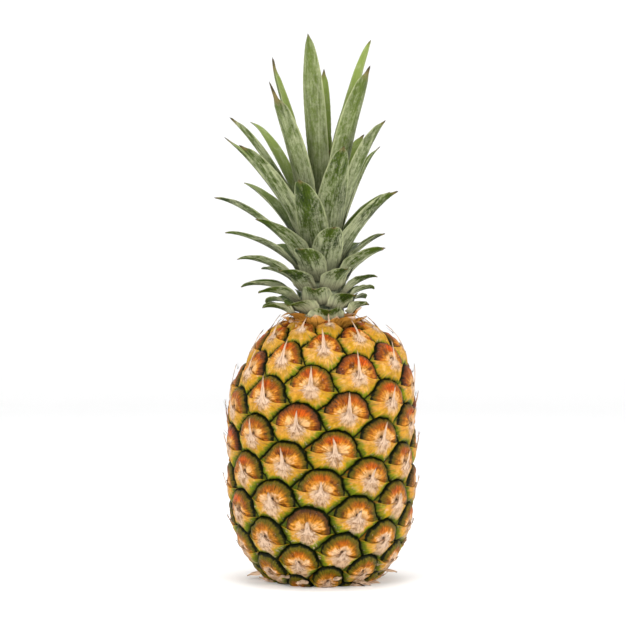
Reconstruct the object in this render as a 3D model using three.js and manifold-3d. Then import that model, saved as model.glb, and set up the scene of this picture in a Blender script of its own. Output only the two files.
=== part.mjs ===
// A whole pineapple, as picked, standing on its base: the fruit with its eyes, the cut stalk end under it,
// and the crown of leaves on its short stem.
// Millimetres and degrees, +Z up. The origin is the middle of the cut stalk, on the surface under it.
// Azimuths are measured from the front, -Y, and grow towards +X.
import * as THREE from "three";
import { mergeVertices } from "three/addons/utils/BufferGeometryUtils.js";
import Module from "manifold-3d";

// ---- Driving dimensions ------------------------------------------------------------------------------

const GAP = 0.3; // between two pieces that touch

const FRUIT = {
  radius: 58.5, // of the skin in the grooves, at the belly
  belly: 91, // height of the widest place
  below: 103, // from the belly down to where the lower curve closes, under the base
  above: 77, // from the belly up to where the upper curve closes
  fall: 3.9, // power that the height enters the outline with
  roundBelow: 1.35, // roundness of the base
  roundAbove: 3.1, // roundness of the shoulder
  neck: 17, // radius of the nearly flat top that the crown grows from
  slump: 0.25, // how far in towards the neck the shoulder slopes on its lower side, -X, as a share
  slumpFrom: 115, // heights where the slope starts and where it is full
  slumpTo: 160,
};

// The eyes follow one another up a tight spiral. Each touches the 5th, 8th and 13th after it.
const EYES = {
  lowest: -8, // number of the lowest one, all of it under the base
  count: 103, // of those from the base up
  turn: 137.83, // from one eye to the next round the axis
  rise: 1.91, // from one eye to the next along the skin
  first: 32.3, // along the skin from under the fruit to number 0, the first to show
  frontTurn: -162.8, // azimuth of the first eye
  lean: 0.078, // slope of the rows round the fruit
  brow: 14.6, // radius of an eye's round upper edge
  pull: 0.75, // how far a corner is drawn onto the brow below it
  relief: 3.7, // height of an eye over its groove
  dome: [6, 0.6], // how squarely its upper half stands: powers of the way out and of what that leaves
  bract: 1.12, // height of its lower half at the eye's middle, as a share of the relief
  fold: [-3, 1], // where the lower half gives way to the upper one, up from the middle
  rings: [0.84, 0.45], // the rings of points between an eye's groove and its middle
  unlike: 0.025, // how much larger or smaller than usual a brow may be, as a share
};

// Anticlockwise, from the upper right.
const STEPS = [5, 13, 8];

const OUTLINE_STEPS = 60; // spans in the outline of the skin

// The dry tip of an eye's bract.
const SPINE = {
  count: 101, // on the eyes from the lowest up: the crown's foot has none under it
  length: [8, 13], // of the lowest and the highest
  width: 5.2,
  thickness: 1.3,
  lift: 3.6, // of the tip over the eye
  drift: 1.5, // of the tip to either side
  spread: 0.2, // how much longer or shorter than usual it may be, as a share
  foot: 3, // from the eye's middle down to where its free part starts
  hidden: 4, // from there down to its buried end
  sunk: 3.2, // depth of that end in the eye
};

// The small dry bracts round the crown's foot.
const COLLAR = {
  count: 13,
  turn: 0.2, // of the first from the front, as a share of the way to the next
  jitter: 0.25, // how far a bract may stand off its place, as a share of the way to the next
  length: 12,
  width: 8,
  thickness: 1,
  back: 21, // along the skin from the middle of the top
  waist: 0.4, // how far along and how far back its widest places lie, as a share of its length
  lean: 58, // how far a bract leans out
  leanSpread: 12,
  spread: 0.25, // how much longer or shorter than usual a bract may be, as a share
  curl: 2, // rise of a tip over its bract
};

const STALK = { radius: 12, depth: 9, sides: 20 };

const STEM = { radius: 15.5, height: 66, power: 1.5, sides: 16, steps: 8 };

const LEAF = {
  stations: 8, // along a blade, from its root up to the last one before its tip
  keel: 1.4, // thickness along the middle, at the root
  edge: 0.7, // thickness along the margins
  channel: 0.42, // depth of the gutter, as a share of the half width
  upright: 0.7, // how far a blade leans out at its root, as a share of the way to its tip
  bend: 0.52, // how far along its length a blade's bend lies
  taper: [2.2, 4], // how late the lowest and the innermost leaf taper: the power of the way along
  fullness: 0.7, // and how roundly
  foot: [1, 0.55], // their width at the root, as a share of their full width
  footEnd: 0.35, // how far along its length such a narrower foot reaches
  clasp: 75, // the furthest round the stem that a margin wraps
  firstRoot: 4, // along the stem from its foot to the lowest root
  lastRoot: 67, // and to the innermost one
};

// Leaves, from the lowest to the innermost: azimuth of the blade, then its tip's distance from the axis and
// height above the fruit, and its full width.
const LEAVES = [
  [10, 30, 10, 22],
  [178, 36, 13, 22],
  [-78, 40, 12, 21],
  [80, 32, 14, 21],
  [-36, 38, 13, 24],
  [-128, 48, 15, 21],
  [40, 35, 20, 21],
  [128, 38, 18, 21],
  [-8, 38, 24, 21],
  [-68, 45, 22, 19],
  [-160, 40, 20, 21],
  [98, 36, 25, 19],
  [-92, 54, 26, 19],
  [158, 42, 30, 20],
  [72, 39, 33, 17],
  [-38, 45, 36, 21],
  [24, 40, 37, 20],
  [-118, 46, 38, 18],
  [-170, 44, 40, 18],
  [-80, 57, 45, 18],
  [112, 45, 51, 18],
  [-17, 48, 50, 21],
  [60, 48, 51, 18],
  [-140, 50, 54, 20],
  [145, 46, 56, 20],
  [10, 47, 64, 22],
  [-87, 64, 62, 18],
  [88, 42, 61, 16],
  [-45, 60, 69, 22],
  [178, 50, 70, 20],
  [55, 60, 88, 20],
  [-90, 71, 86, 19],
  [118, 52, 90, 20],
  [-16, 52, 94, 22],
  [-128, 67, 97, 18],
  [20, 42, 116, 22],
  [160, 50, 104, 20],
  [-60, 61, 118, 21],
  [106, 39, 121, 14],
  [-104, 67, 126, 16],
  [-165, 50, 116, 19],
  [62, 46, 135, 19],
  [-78, 61, 137, 19],
  [135, 40, 129, 18],
  [-128, 60, 141, 15],
  [-45, 48, 158, 19],
  [178, 30, 142, 17],
  [48, 42, 169, 20],
  [-108, 38, 178, 18],
  [118, 37, 191, 19],
  [-30, 18, 191, 20],
  [172, 12, 171, 14],
  [65, 6, 116, 9],
  [-75, 3, 104, 8],
];

const LOOKS = {
  rind: { color: 0xc08a2e, roughness: 0.62 },
  stalk: { color: 0xb89a6a, roughness: 0.9 },
  stem: { color: 0xc9cfa8, roughness: 0.8 },
  leaf: { color: 0x6f8a52, roughness: 0.6 },
};

// ---- Solids ------------------------------------------------------------------------------------------

const wasm = await Module();
wasm.setup();

// The solid that a closed geometry bounds.
function solidOf(geometry) {
  const bare = geometry.clone();
  bare.deleteAttribute("normal");
  bare.deleteAttribute("uv");
  const merged = mergeVertices(bare, 1e-4);
  return new wasm.Manifold(
    new wasm.Mesh({
      numProp: 3,
      vertProperties: merged.attributes.position.array,
      triVerts: new Uint32Array(merged.index.array),
    }),
  );
}

// A solid without what lies loose in it: the hollows that a join seals.
function largest(solid) {
  return solid.decompose().reduce((a, b) => (b.volume() > a.volume() ? b : a));
}

// The geometry of a solid's surface.
function geometryOf(solid) {
  const { numProp, numVert, vertProperties, triVerts } = solid.getMesh();
  const points = new Float32Array(numVert * 3);
  for (let v = 0; v < numVert; v++)
    points.set(vertProperties.subarray(v * numProp, v * numProp + 3), v * 3);
  const geometry = new THREE.BufferGeometry();
  geometry.setAttribute("position", new THREE.BufferAttribute(points, 3));
  geometry.setIndex(new THREE.BufferAttribute(triVerts, 1));
  return geometry;
}

// A geometry from points and the triangles that join them.
function geometryFrom(points, triangles) {
  const geometry = new THREE.BufferGeometry().setFromPoints(points);
  geometry.setIndex(triangles);
  return geometry;
}

// A closed skin over rings of equally many points, which run anticlockwise seen from the last one: a ring of
// one point, the tip. The last point of the first ring sees all its others.
function loft(rings) {
  const sides = rings[0].length;
  const last = sides - 1;
  const triangles = [];
  for (let k = 1; k < rings.length; k++) {
    const [below, above] = [(k - 1) * sides, k * sides];
    for (let j = 0; j < sides; j++) {
      const next = (j + 1) % sides;
      if (rings[k].length === 1) triangles.push(below + j, below + next, above);
      else if (rings[k - 1][j].distanceTo(rings[k][next]) < rings[k - 1][next].distanceTo(rings[k][j]))
        triangles.push(below + j, below + next, above + next, below + j, above + next, above + j);
      else triangles.push(below + j, below + next, above + j, below + next, above + next, above + j);
    }
  }
  for (let j = 0; j < last - 1; j++) triangles.push(last, j + 1, j);
  return geometryFrom(rings.flat(), triangles);
}

// The same number from -1 to 1 for the same two whole numbers.
function chance(index, kind = 0) {
  const x = Math.sin(index * 12.9898 + kind * 78.233 + 4.1) * 43758.5453;
  return 2 * (x - Math.floor(x)) - 1;
}

// A factor that lies within a share of 1, the same for the same two whole numbers.
const spread = (share, index, kind) => 1 + share * chance(index, kind);

const radians = THREE.MathUtils.degToRad;

// The point at an azimuth in radians, a distance from the axis and a height.
const polar = (azimuth, reach, height) =>
  new THREE.Vector3(reach * Math.sin(azimuth), -reach * Math.cos(azimuth), height);

// ---- The fruit ---------------------------------------------------------------------------------------

// Radius of the skin in the grooves at a height.
function radiusAt(height) {
  const up = height > FRUIT.belly;
  const share = Math.abs(height - FRUIT.belly) / (up ? FRUIT.above : FRUIT.below);
  const round = up ? FRUIT.roundAbove : FRUIT.roundBelow;
  return FRUIT.radius * Math.max(0, 1 - share ** FRUIT.fall) ** (1 / round);
}

// Height of the top, where the upper curve is as narrow as the neck.
const TOP =
  FRUIT.belly +
  FRUIT.above *
    (1 - (FRUIT.neck / FRUIT.radius) ** FRUIT.roundAbove) ** (1 / FRUIT.fall);

// The skin's outline from under the base to the middle of the top, which a length along it reads.
const OUTLINE = new THREE.CatmullRomCurve3(
  Array.from({ length: OUTLINE_STEPS + 1 }, (_, k) => {
    const share = (1 - Math.cos((Math.PI * k) / OUTLINE_STEPS)) / 2;
    const height = THREE.MathUtils.lerp(FRUIT.belly - FRUIT.below, FRUIT.belly + FRUIT.above, share);
    return new THREE.Vector3(radiusAt(height), 0, height);
  }),
);
OUTLINE.arcLengthDivisions = 10 * OUTLINE_STEPS;
const SKIN = OUTLINE.getLength();

// The point over a place on the skin: azimuth in radians, length along the outline, and height over it.
function onSkin(azimuth, along, over = 0) {
  const share = THREE.MathUtils.clamp(along / SKIN, 0, 1);
  const at = OUTLINE.getPointAt(share);
  const way = OUTLINE.getTangentAt(share);
  const slump = FRUIT.slump * THREE.MathUtils.smoothstep(at.z, FRUIT.slumpFrom, FRUIT.slumpTo);
  const reach = at.x + over * way.z;
  const inward = (slump * Math.max(0, reach - FRUIT.neck) * (1 - Math.sin(azimuth))) / 2;
  return polar(azimuth, reach - inward, at.z - over * way.x);
}

// An eye's azimuth in radians and its place along the skin.
function eyeAt(index) {
  const azimuth = radians(EYES.frontTurn - index * EYES.turn);
  const along = EYES.first + index * EYES.rise;
  const reach = OUTLINE.getPointAt(THREE.MathUtils.clamp(along / SKIN, 0, 1)).x;
  return { azimuth, along: along - EYES.lean * reach * Math.sin(azimuth) };
}

// Where one eye lies as seen from another, across and up, in millimetres of the unrolled belly.
function fromEye(index, other) {
  const [here, there] = [eyeAt(index), eyeAt(other)];
  const turn = there.azimuth - here.azimuth;
  const across = Math.atan2(Math.sin(turn), Math.cos(turn)) * FRUIT.radius;
  return new THREE.Vector2(across, there.along - here.along);
}

// A place that an eye sees across and up from itself, seen from the axis.
function placed(index, seen) {
  const { azimuth, along } = eyeAt(index);
  return { azimuth: azimuth + seen.x / FRUIT.radius, along: along + seen.y };
}

// The corner that an eye shares with two of the three above it, drawn onto its own brow.
function corner(index, first, second) {
  const middle = fromEye(index, index + first).add(fromEye(index, index + second)).divideScalar(3);
  const brow = EYES.brow * spread(EYES.unlike, index);
  return middle.setLength(THREE.MathUtils.lerp(middle.length(), brow, EYES.pull));
}

// The border between an eye and the one `step` above it, from right to left over the brow, as the lower eye
// sees it: the corner at its start, the middle, and the corner at its end. Each has a name, because up to
// three eyes share it.
function border(index, step) {
  const right = { name: `high${index - 8}`, seen: fromEye(index, index - 8).add(corner(index - 8, 8, 13)) };
  const low = { name: `low${index}`, seen: corner(index, 5, 13) };
  const high = { name: `high${index}`, seen: corner(index, 8, 13) };
  const left = { name: `low${index - 5}`, seen: fromEye(index, index - 5).add(corner(index - 5, 5, 13)) };
  const [start, end] = { 5: [right, low], 13: [low, high], 8: [high, left] }[step];
  const middle = start.seen.clone().add(end.seen).setLength(EYES.brow);
  return [start, { name: `${step} over ${index}`, seen: middle }, end];
}

// The outline of an eye's cell as the eye sees it, anticlockwise from its right-hand horn.
function cell(index) {
  const upper = STEPS.map((step) => border(index, step));
  const lower = STEPS.map((step) => {
    const shift = fromEye(index, index - step);
    const line = border(index - step, step).map(({ name, seen }) => ({ name, seen: seen.add(shift) }));
    return line.reverse();
  });
  return [...upper, ...lower].flatMap((line) => line.slice(0, -1));
}

// Height of an eye's surface over its groove: a domed upper half, and a bract that slopes away below.
function relief(share, up) {
  const dome = (1 - share ** EYES.dome[0]) ** EYES.dome[1];
  const bract = EYES.bract * (1 - share ** 2);
  return EYES.relief * THREE.MathUtils.lerp(bract, dome, THREE.MathUtils.smoothstep(up, ...EYES.fold));
}

// The loops of edges that have no triangle on their other side.
function openLoops(triangles) {
  const edges = new Map();
  for (let t = 0; t < triangles.length; t += 3)
    for (let k = 0; k < 3; k++) {
      const [from, to] = [triangles[t + k], triangles[t + ((k + 1) % 3)]];
      edges.set(`${from} ${to}`, [from, to]);
    }
  const back = new Map();
  for (const [from, to] of edges.values()) if (!edges.has(`${to} ${from}`)) back.set(to, from);
  const loops = [];
  while (back.size) {
    const loop = [];
    let at = back.keys().next().value;
    while (back.has(at)) {
      loop.push(at);
      const next = back.get(at);
      back.delete(at);
      at = next;
    }
    loops.push(loop);
  }
  return loops;
}

// The eyes' surface, closed far under the base and over the top.
function eyedSkin() {
  const points = [];
  const triangles = [];
  const known = new Map();
  const add = (point) => points.push(point) - 1;
  const raise = (index, seen, share) => {
    const { azimuth, along } = placed(index, seen);
    return add(onSkin(azimuth, along, share === 1 ? 0 : relief(share, seen.y)));
  };
  for (let index = EYES.lowest; index < EYES.count; index++) {
    const outline = cell(index);
    for (const { name, seen } of outline) if (!known.has(name)) known.set(name, raise(index, seen, 1));
    const rings = [outline.map(({ name }) => known.get(name))];
    for (const share of EYES.rings)
      rings.push(outline.map(({ seen }) => raise(index, seen.clone().multiplyScalar(share), share)));
    const middle = raise(index, new THREE.Vector2(), 0);
    outline.forEach((_, j) => {
      const next = (j + 1) % outline.length;
      for (let k = 1; k < rings.length; k++) {
        const [outer, inner] = [rings[k - 1], rings[k]];
        triangles.push(outer[j], outer[next], inner[next], outer[j], inner[next], inner[j]);
      }
      triangles.push(rings.at(-1)[j], rings.at(-1)[next], middle);
    });
  }
  for (const loop of openLoops(triangles)) {
    const low = points[loop[0]].z < FRUIT.belly;
    const middle = add(onSkin(0, low ? 0 : SKIN));
    loop.forEach((v, j) => triangles.push(v, loop[(j + 1) % loop.length], middle));
  }
  return geometryFrom(points, triangles);
}

// The dry tip of an eye's bract: a thin spine that rises from the eye and stands off it.
function spine(index) {
  const { azimuth, along } = eyeAt(index);
  const at = (across, up, over) =>
    onSkin(azimuth + across / FRUIT.radius, along + up, EYES.relief + over);
  const half = SPINE.width / 2;
  const ring = (up, over) => [at(-half, up, over), at(0, up, over + SPINE.thickness), at(half, up, over)];
  const length = THREE.MathUtils.lerp(...SPINE.length, index / EYES.count);
  const tip = length * spread(SPINE.spread, index, 2) - SPINE.foot;
  return loft([
    ring(-SPINE.foot - SPINE.hidden, -SPINE.sunk),
    ring(-SPINE.foot, 0),
    [at(SPINE.drift * chance(index, 3), tip, SPINE.lift)],
  ]);
}

// One of the small dry bracts that stand round the crown's foot.
function collarBract(index) {
  const azimuth = radians((index + COLLAR.turn + COLLAR.jitter * chance(index, 5)) * (360 / COLLAR.count));
  const lean = radians(COLLAR.lean + COLLAR.leanSpread * chance(index, 6));
  const length = COLLAR.length * spread(COLLAR.spread, index, 7);
  const root = onSkin(azimuth, SKIN - COLLAR.back);
  const out = polar(azimuth, Math.sin(lean), Math.cos(lean));
  const side = polar(azimuth + Math.PI / 2, 1, 0);
  const up = polar(azimuth, -Math.cos(lean), Math.sin(lean));
  const at = (forth, across, over) =>
    root.clone().addScaledVector(out, forth).addScaledVector(side, across).addScaledVector(up, over);
  const half = COLLAR.width / 2;
  const ring = (forth) => [
    at(forth, half, half / 3),
    at(forth, 0, COLLAR.thickness),
    at(forth, -half, half / 3),
    at(forth, 0, -COLLAR.thickness),
  ];
  const waist = COLLAR.waist * length;
  return loft([ring(-waist), ring(waist), [at(length, 0, COLLAR.curl)]]);
}

// A round hollow about the axis between two heights.
function socket(radius, from, to, sides) {
  const round = new THREE.CylinderGeometry(radius + GAP, radius + GAP, to - from, sides);
  return solidOf(round.rotateX(Math.PI / 2).translate(0, 0, (from + to) / 2));
}

function fruit() {
  const tips = Array.from({ length: SPINE.count }, (_, index) => solidOf(spine(index)));
  const collar = Array.from({ length: COLLAR.count }, (_, index) => solidOf(collarBract(index)));
  const under = FRUIT.below - FRUIT.belly + EYES.relief;
  const ground = new THREE.BoxGeometry(4 * FRUIT.radius, 4 * FRUIT.radius, under).translate(0, 0, -under / 2);
  const cuts = [
    solidOf(ground),
    socket(STALK.radius, -GAP, STALK.depth + GAP, STALK.sides),
    socket(STEM.radius, TOP, TOP + STEM.height, STEM.sides),
  ];
  const whole = wasm.Manifold.union([solidOf(eyedSkin()), ...tips, ...collar]);
  return geometryOf(largest(whole.subtract(wasm.Manifold.union(cuts))));
}

// ---- The stalk and the crown -------------------------------------------------------------------------

function stalk() {
  return new THREE.CylinderGeometry(STALK.radius, STALK.radius, STALK.depth, STALK.sides)
    .rotateX(Math.PI / 2)
    .translate(0, 0, STALK.depth / 2);
}

const CROWN = TOP + GAP; // height of the crown's foot

// The stem's outline from its foot to its tip, as distance from the axis and height above the foot.
const STEM_LINE = new THREE.CatmullRomCurve3(
  Array.from({ length: 2 * STEM.steps + 1 }, (_, k) => {
    const angle = (Math.PI * k) / (4 * STEM.steps);
    const [reach, height] = [Math.cos(angle), Math.sin(angle)].map((v) => v ** (2 / STEM.power));
    return new THREE.Vector3(STEM.radius * reach, STEM.height * height, 0);
  }),
);

function stem() {
  const outline = Array.from({ length: STEM.steps + 1 }, (_, k) => {
    const { x, y } = STEM_LINE.getPointAt(k / STEM.steps);
    return new THREE.Vector2(k === STEM.steps ? 0 : x, y);
  });
  outline.unshift(new THREE.Vector2(0, 0));
  return new THREE.LatheGeometry(outline, STEM.sides).rotateX(Math.PI / 2).translate(0, 0, CROWN);
}

// The middle line of a leaf in its own upright plane: it leaves the stem, leans out and bends to its tip.
function midrib({ root, reach, height }) {
  const foot = STEM_LINE.getPointAt(root / STEM_LINE.getLength());
  const start = new THREE.Vector2(foot.x + LEAF.keel / 2 + 3 * GAP, foot.y);
  const end = new THREE.Vector2(reach, height);
  const lean = LEAF.upright * Math.atan2(end.x - start.x, end.y - start.y);
  const pull = start.distanceTo(end) * LEAF.bend;
  const bend = new THREE.Vector2(Math.sin(lean), Math.cos(lean)).multiplyScalar(pull).add(start);
  return new THREE.QuadraticBezierCurve(start, bend, end);
}

// The section of a leaf some way along it: a gutter with a keel underneath, open towards the axis, which
// wraps round the stem at the root. Its points are across the leaf and towards the axis from the midrib.
function gutter(share, reach, rise, { width, level }) {
  const { lerp } = THREE.MathUtils;
  const foot = lerp(...LEAF.foot, level);
  const broad = lerp(foot, 1, Math.min(1, share / LEAF.footEnd));
  const full = (width / 2) * broad * (1 - share ** lerp(...LEAF.taper, level)) ** LEAF.fullness;
  const turn = Math.min(full / reach, radians(LEAF.clasp));
  const half = reach * Math.sin(turn);
  const wrap = reach * (1 - Math.cos(turn)) * rise;
  const depth = Math.max(wrap, half * LEAF.channel * Math.min(1, share / LEAF.footEnd));
  const keel = lerp(LEAF.keel, LEAF.edge, share) / 2;
  const edge = LEAF.edge / 2;
  return [
    [half, depth - edge],
    [half, depth + edge],
    [0, keel],
    [-half, depth + edge],
    [-half, depth - edge],
    [0, -keel],
  ];
}

function leaf(index) {
  const [turn, reach, height, width] = LEAVES[index];
  const azimuth = radians(turn);
  const level = index / (LEAVES.length - 1);
  const root = THREE.MathUtils.lerp(LEAF.firstRoot, LEAF.lastRoot, level);
  const line = midrib({ root, reach, height });
  const side = polar(azimuth + Math.PI / 2, 1, 0);
  const rings = [];
  for (let k = 0; k < LEAF.stations; k++) {
    const share = k / LEAF.stations;
    const at = line.getPoint(share);
    const way = line.getTangent(share);
    const middle = polar(azimuth, at.x, CROWN + at.y);
    const inward = polar(azimuth, -way.y, way.x);
    rings.push(
      gutter(share, at.x, way.y, { width, level }).map(([across, up]) =>
        middle.clone().addScaledVector(side, across).addScaledVector(inward, up),
      ),
    );
  }
  rings.push([polar(azimuth, reach, CROWN + height)]);
  return loft(rings);
}

// ---- The whole ---------------------------------------------------------------------------------------

const pineapple = new THREE.Group();

function put(name, geometry, look) {
  const mesh = new THREE.Mesh(geometry, new THREE.MeshStandardMaterial({ ...look, metalness: 0 }));
  mesh.name = name;
  pineapple.add(mesh);
}

put("fruit", fruit(), LOOKS.rind);
put("cut_stalk", stalk(), LOOKS.stalk);
put("crown_stem", stem(), LOOKS.stem);
LEAVES.forEach((_, index) => put(`leaf_${String(index + 1).padStart(2, "0")}`, leaf(index), LOOKS.leaf));

export default pineapple;
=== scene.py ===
"""The surface of a whole pineapple: its eyes, dry bract tips, crown leaves and a pale stage round it."""
import bisect
import functools
import itertools
import math

import bmesh
import bpy
from bmesh.types import BMEdge, BMFace, BMVert
from bpy.props import FloatProperty, FloatVectorProperty, IntProperty, PointerProperty
from mathutils import Matrix, Vector, noise


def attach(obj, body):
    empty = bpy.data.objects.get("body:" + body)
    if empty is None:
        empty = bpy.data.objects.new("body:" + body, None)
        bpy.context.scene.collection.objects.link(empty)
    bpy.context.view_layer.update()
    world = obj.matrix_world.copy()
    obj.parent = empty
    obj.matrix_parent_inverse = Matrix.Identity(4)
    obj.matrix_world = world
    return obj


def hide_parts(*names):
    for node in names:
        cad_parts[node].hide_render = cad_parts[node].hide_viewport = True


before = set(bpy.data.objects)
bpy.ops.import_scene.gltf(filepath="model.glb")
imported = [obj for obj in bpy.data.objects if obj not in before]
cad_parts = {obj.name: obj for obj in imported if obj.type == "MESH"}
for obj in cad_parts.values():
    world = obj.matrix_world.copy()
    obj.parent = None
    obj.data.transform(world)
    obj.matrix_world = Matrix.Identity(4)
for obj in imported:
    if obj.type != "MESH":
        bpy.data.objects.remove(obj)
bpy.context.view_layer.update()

MM = 0.001
WELD, FINE_WELD = 0.002 * MM, 0.0003 * MM  # how near together vertices are merged, and in thin paper
FLOOR_GAP = 0.05 * MM  # what hangs at the base stays this far over the floor
BLADE_END = 0.06  # share of a dry blade's length over which each end closes
LEAF_END = 0.02  # the same for a leaf

bl_info = {
    "name": "Pineapple",
    "version": (1, 0, 0),
    "blender": (4, 5, 0),
    "location": "View3D > Sidebar > Pineapple",
    "description": "Makes the surface of a whole pineapple round its solid frame",
    "category": "Add Mesh",
}


def srgb(code):
    """The linear colour of a web colour such as c08a2e."""
    shares = [int(code[k:k + 2], 16) / 255 for k in (0, 2, 4)]
    return tuple(c / 12.92 if c <= 0.04045 else ((c + 0.055) / 1.055) ** 2.4 for c in shares)


def lerp(start, end, share):
    """The value some share of the way from a start to an end."""
    return start + (end - start) * share


def smoothstep(value, low, high):
    """0 below low, 1 above high and smooth between them."""
    share = min(1.0, max(0.0, (value - low) / (high - low)))
    return share * share * (3 - 2 * share)


# What chance() tells one trait of a piece from another by.
TRAITS = {
    "brow": 0, "tip_length": 2, "tip_drift": 3, "collar_turn": 5, "collar_lean": 6, "collar_length": 7,
    "collar_curl": 8, "collar_width": 9, "eye_tint": 11, "eye_stain": 12, "eye_wrinkles": 14,
    "fan_length": 21, "fan_width": 22, "tip_blunt": 23, "tip_lift": 24, "tip_tint": 31, "tip_stain": 32,
    "tip_shift": 33, "bract_tint": 41, "bract_stain": 42, "flap_turn": 51, "flap_root": 52,
    "flap_lean": 53, "flap_twist": 54, "flap_length": 55, "flap_width": 56, "flap_curl": 57,
    "fibre_length": 61, "fibre_rise": 62, "fibre_side": 63, "fibre_foot": 64, "fibre_slant": 65,
    "fibre_end": 66, "fibre_tint": 67, "leaf_roll": 71, "leaf_tint": 72,
}


def chance(index, trait):
    """A number from -1 to 1, always the same for a piece's number and a trait."""
    x = math.sin(index * 12.9898 + TRAITS[trait] * 78.233 + 4.1) * 43758.5453
    return 2 * (x - math.floor(x)) - 1


def fraction(index, trait):
    """A number from 0 to 1, always the same for a piece's number and a trait."""
    return 0.5 + 0.5 * chance(index, trait)


def varied(usual, most, index, trait):
    """A usual value and at most so much more or less, always the same for a piece's number and a trait."""
    return usual + most * chance(index, trait)


def spread(share, index, trait):
    """A factor within a share of 1, always the same for a piece's number and a trait."""
    return varied(1, share, index, trait)


def polar(azimuth, reach, height):
    """The point at an azimuth from the front, a distance from the axis and a height."""
    return Vector((reach * math.sin(azimuth), -reach * math.cos(azimuth), height))


# ---- Sizes and colours that a user may change --------------------------------------------------------


def length(name, description, default):
    return FloatProperty(name=name, description=description, default=default, unit="LENGTH", precision=4)


def number(name, description, default):
    return FloatProperty(name=name, description=description, default=default)


def whole(name, description, default):
    return IntProperty(name=name, description=description, default=default)


def colour(name, description, code):
    return FloatVectorProperty(
        name=name, description=description, default=srgb(code), subtype="COLOR", size=3, min=0, max=1)


class PineappleSkinSettings(bpy.types.PropertyGroup):
    """The skin in the grooves, and how the eyes stand on it."""

    radius: length("Radius", "Of the skin in the grooves, at the belly", 0.0585)
    belly: length("Belly", "Height of the widest place", 0.091)
    below: length("Below", "From the belly down to where the lower curve closes", 0.103)
    above: length("Above", "From the belly up to where the upper curve closes", 0.077)
    fall: number("Fall", "Power that the height enters the outline with", 3.9)
    round_below: number("Round below", "Roundness of the base", 1.35)
    round_above: number("Round above", "Roundness of the shoulder", 3.1)
    neck: length("Neck", "Radius of the nearly flat top that the crown grows from", 0.017)
    slump: number("Slump", "How far in the shoulder slopes on its lower side, as a share", 0.25)
    slump_from: length("Slump from", "Height where the slope starts", 0.115)
    slump_to: length("Slump to", "Height where the slope is full", 0.160)
    lowest: whole("Lowest eye", "Number of the lowest eye, all of it under the base", -8)
    count: whole("Eyes", "How many eyes there are from the base up", 103)
    turn: number("Turn", "Degrees from one eye to the next round the axis", 137.83)
    rise: length("Rise", "From one eye to the next along the skin", 0.00191)
    first: length("First", "Along the skin from under the fruit to the first eye that shows", 0.0323)
    front_turn: number("Front turn", "Azimuth of the first eye in degrees", -162.8)
    lean: number("Lean", "Slope of the rows round the fruit", 0.078)
    brow: length("Brow", "Radius of an eye's round upper edge", 0.0146)
    pull: number("Pull", "How far a corner is drawn onto the brow below it", 0.75)
    relief: length("Relief", "Height of an eye over its groove", 0.0037)
    unlike: number("Unlike", "How much larger or smaller than usual a brow may be, as a share", 0.025)
    stalk: length("Stalk", "Radius of the hollow for the cut stalk", 0.0123)
    stalk_depth: length("Stalk depth", "Depth of the hollow for the cut stalk", 0.0093)


class PineappleRindSettings(bpy.types.PropertyGroup):
    """Colours of the eyes and of their bracts."""

    core: colour("Core", "Middle of an eye", "d0a068")
    amber: colour("Amber", "Between the middle of an eye and its ring", "bc7a1e")
    ring: colour("Ring", "Ripe ring of an eye", "964a0a")
    blush: colour("Blush", "Red spot at the top of an eye", "b84802")
    stale: colour("Stale", "Brown ring of the lower eyes", "7c5008")
    # Also the colour of the painted shade over the bract's lip.
    bruise_and_lip_shade: colour("Bruise", "Purple-brown blotches", "3c1e10")
    rim: colour("Rim", "Olive edge of an eye", "424402")
    # The grooves' own dark green, deepened into painted shade.
    groove: colour("Groove", "Bottom of the grooves", "0e1402")
    bract: colour("Bract", "Ripe part of a bract", "b88818")
    bract_warm: colour("Warm bract", "Its part beside the eye", "bf8434")
    bract_green: colour("Green bract", "Its part near the groove", "6c7e0c")
    moss: colour("Moss", "Its part beside the groove", "2c3806")
    paper: colour("Paper", "Dry middle of a bract", "ceb094")
    # Brown streaks of the dry paper, partly painted shade in its folds.
    paper_dark: colour("Dark paper", "Folds of the dry middle", "7a5840")
    vein: colour("Vein", "Fine lines in a bract", "43270a")
    dry_tip: colour("Dry tip", "Ends of the dry tips", "38261a")


class PineapplePaperSettings(bpy.types.PropertyGroup):
    """The dry tips, their fibres, and the torn bracts at the base."""

    tip_low: length("Lower tips", "Length of the lower eyes' dry tips", 0.005)
    tip_high: length("Upper tips", "Length of the upper eyes' dry tips", 0.012)
    lift_low: length("Lift of the lower tips", "How far their ends stand off", 0.0008)
    lift_high: length("Lift of the upper tips", "How far their ends stand off", 0.003)
    fan_low: length("Lower fans", "Length of the torn fan under a tip, on the lower eyes", 0.0046)
    fan_high: length("Upper fans", "Length of the torn fan under a tip, on the upper eyes", 0.0034)
    half_low: length("Width of the lower fans", "Half of it", 0.0042)
    half_high: length("Width of the upper fans", "Half of it", 0.0035)
    fibre: length("Fibres", "Length of a fine fibre", 0.0045)
    flaps: whole("Base bracts", "How many torn bracts hang at the base", 17)
    flap: length("Length of the base bracts", "From their roots", 0.0105)
    flap_half: length("Width of the base bracts", "Half of it", 0.0034)


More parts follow.
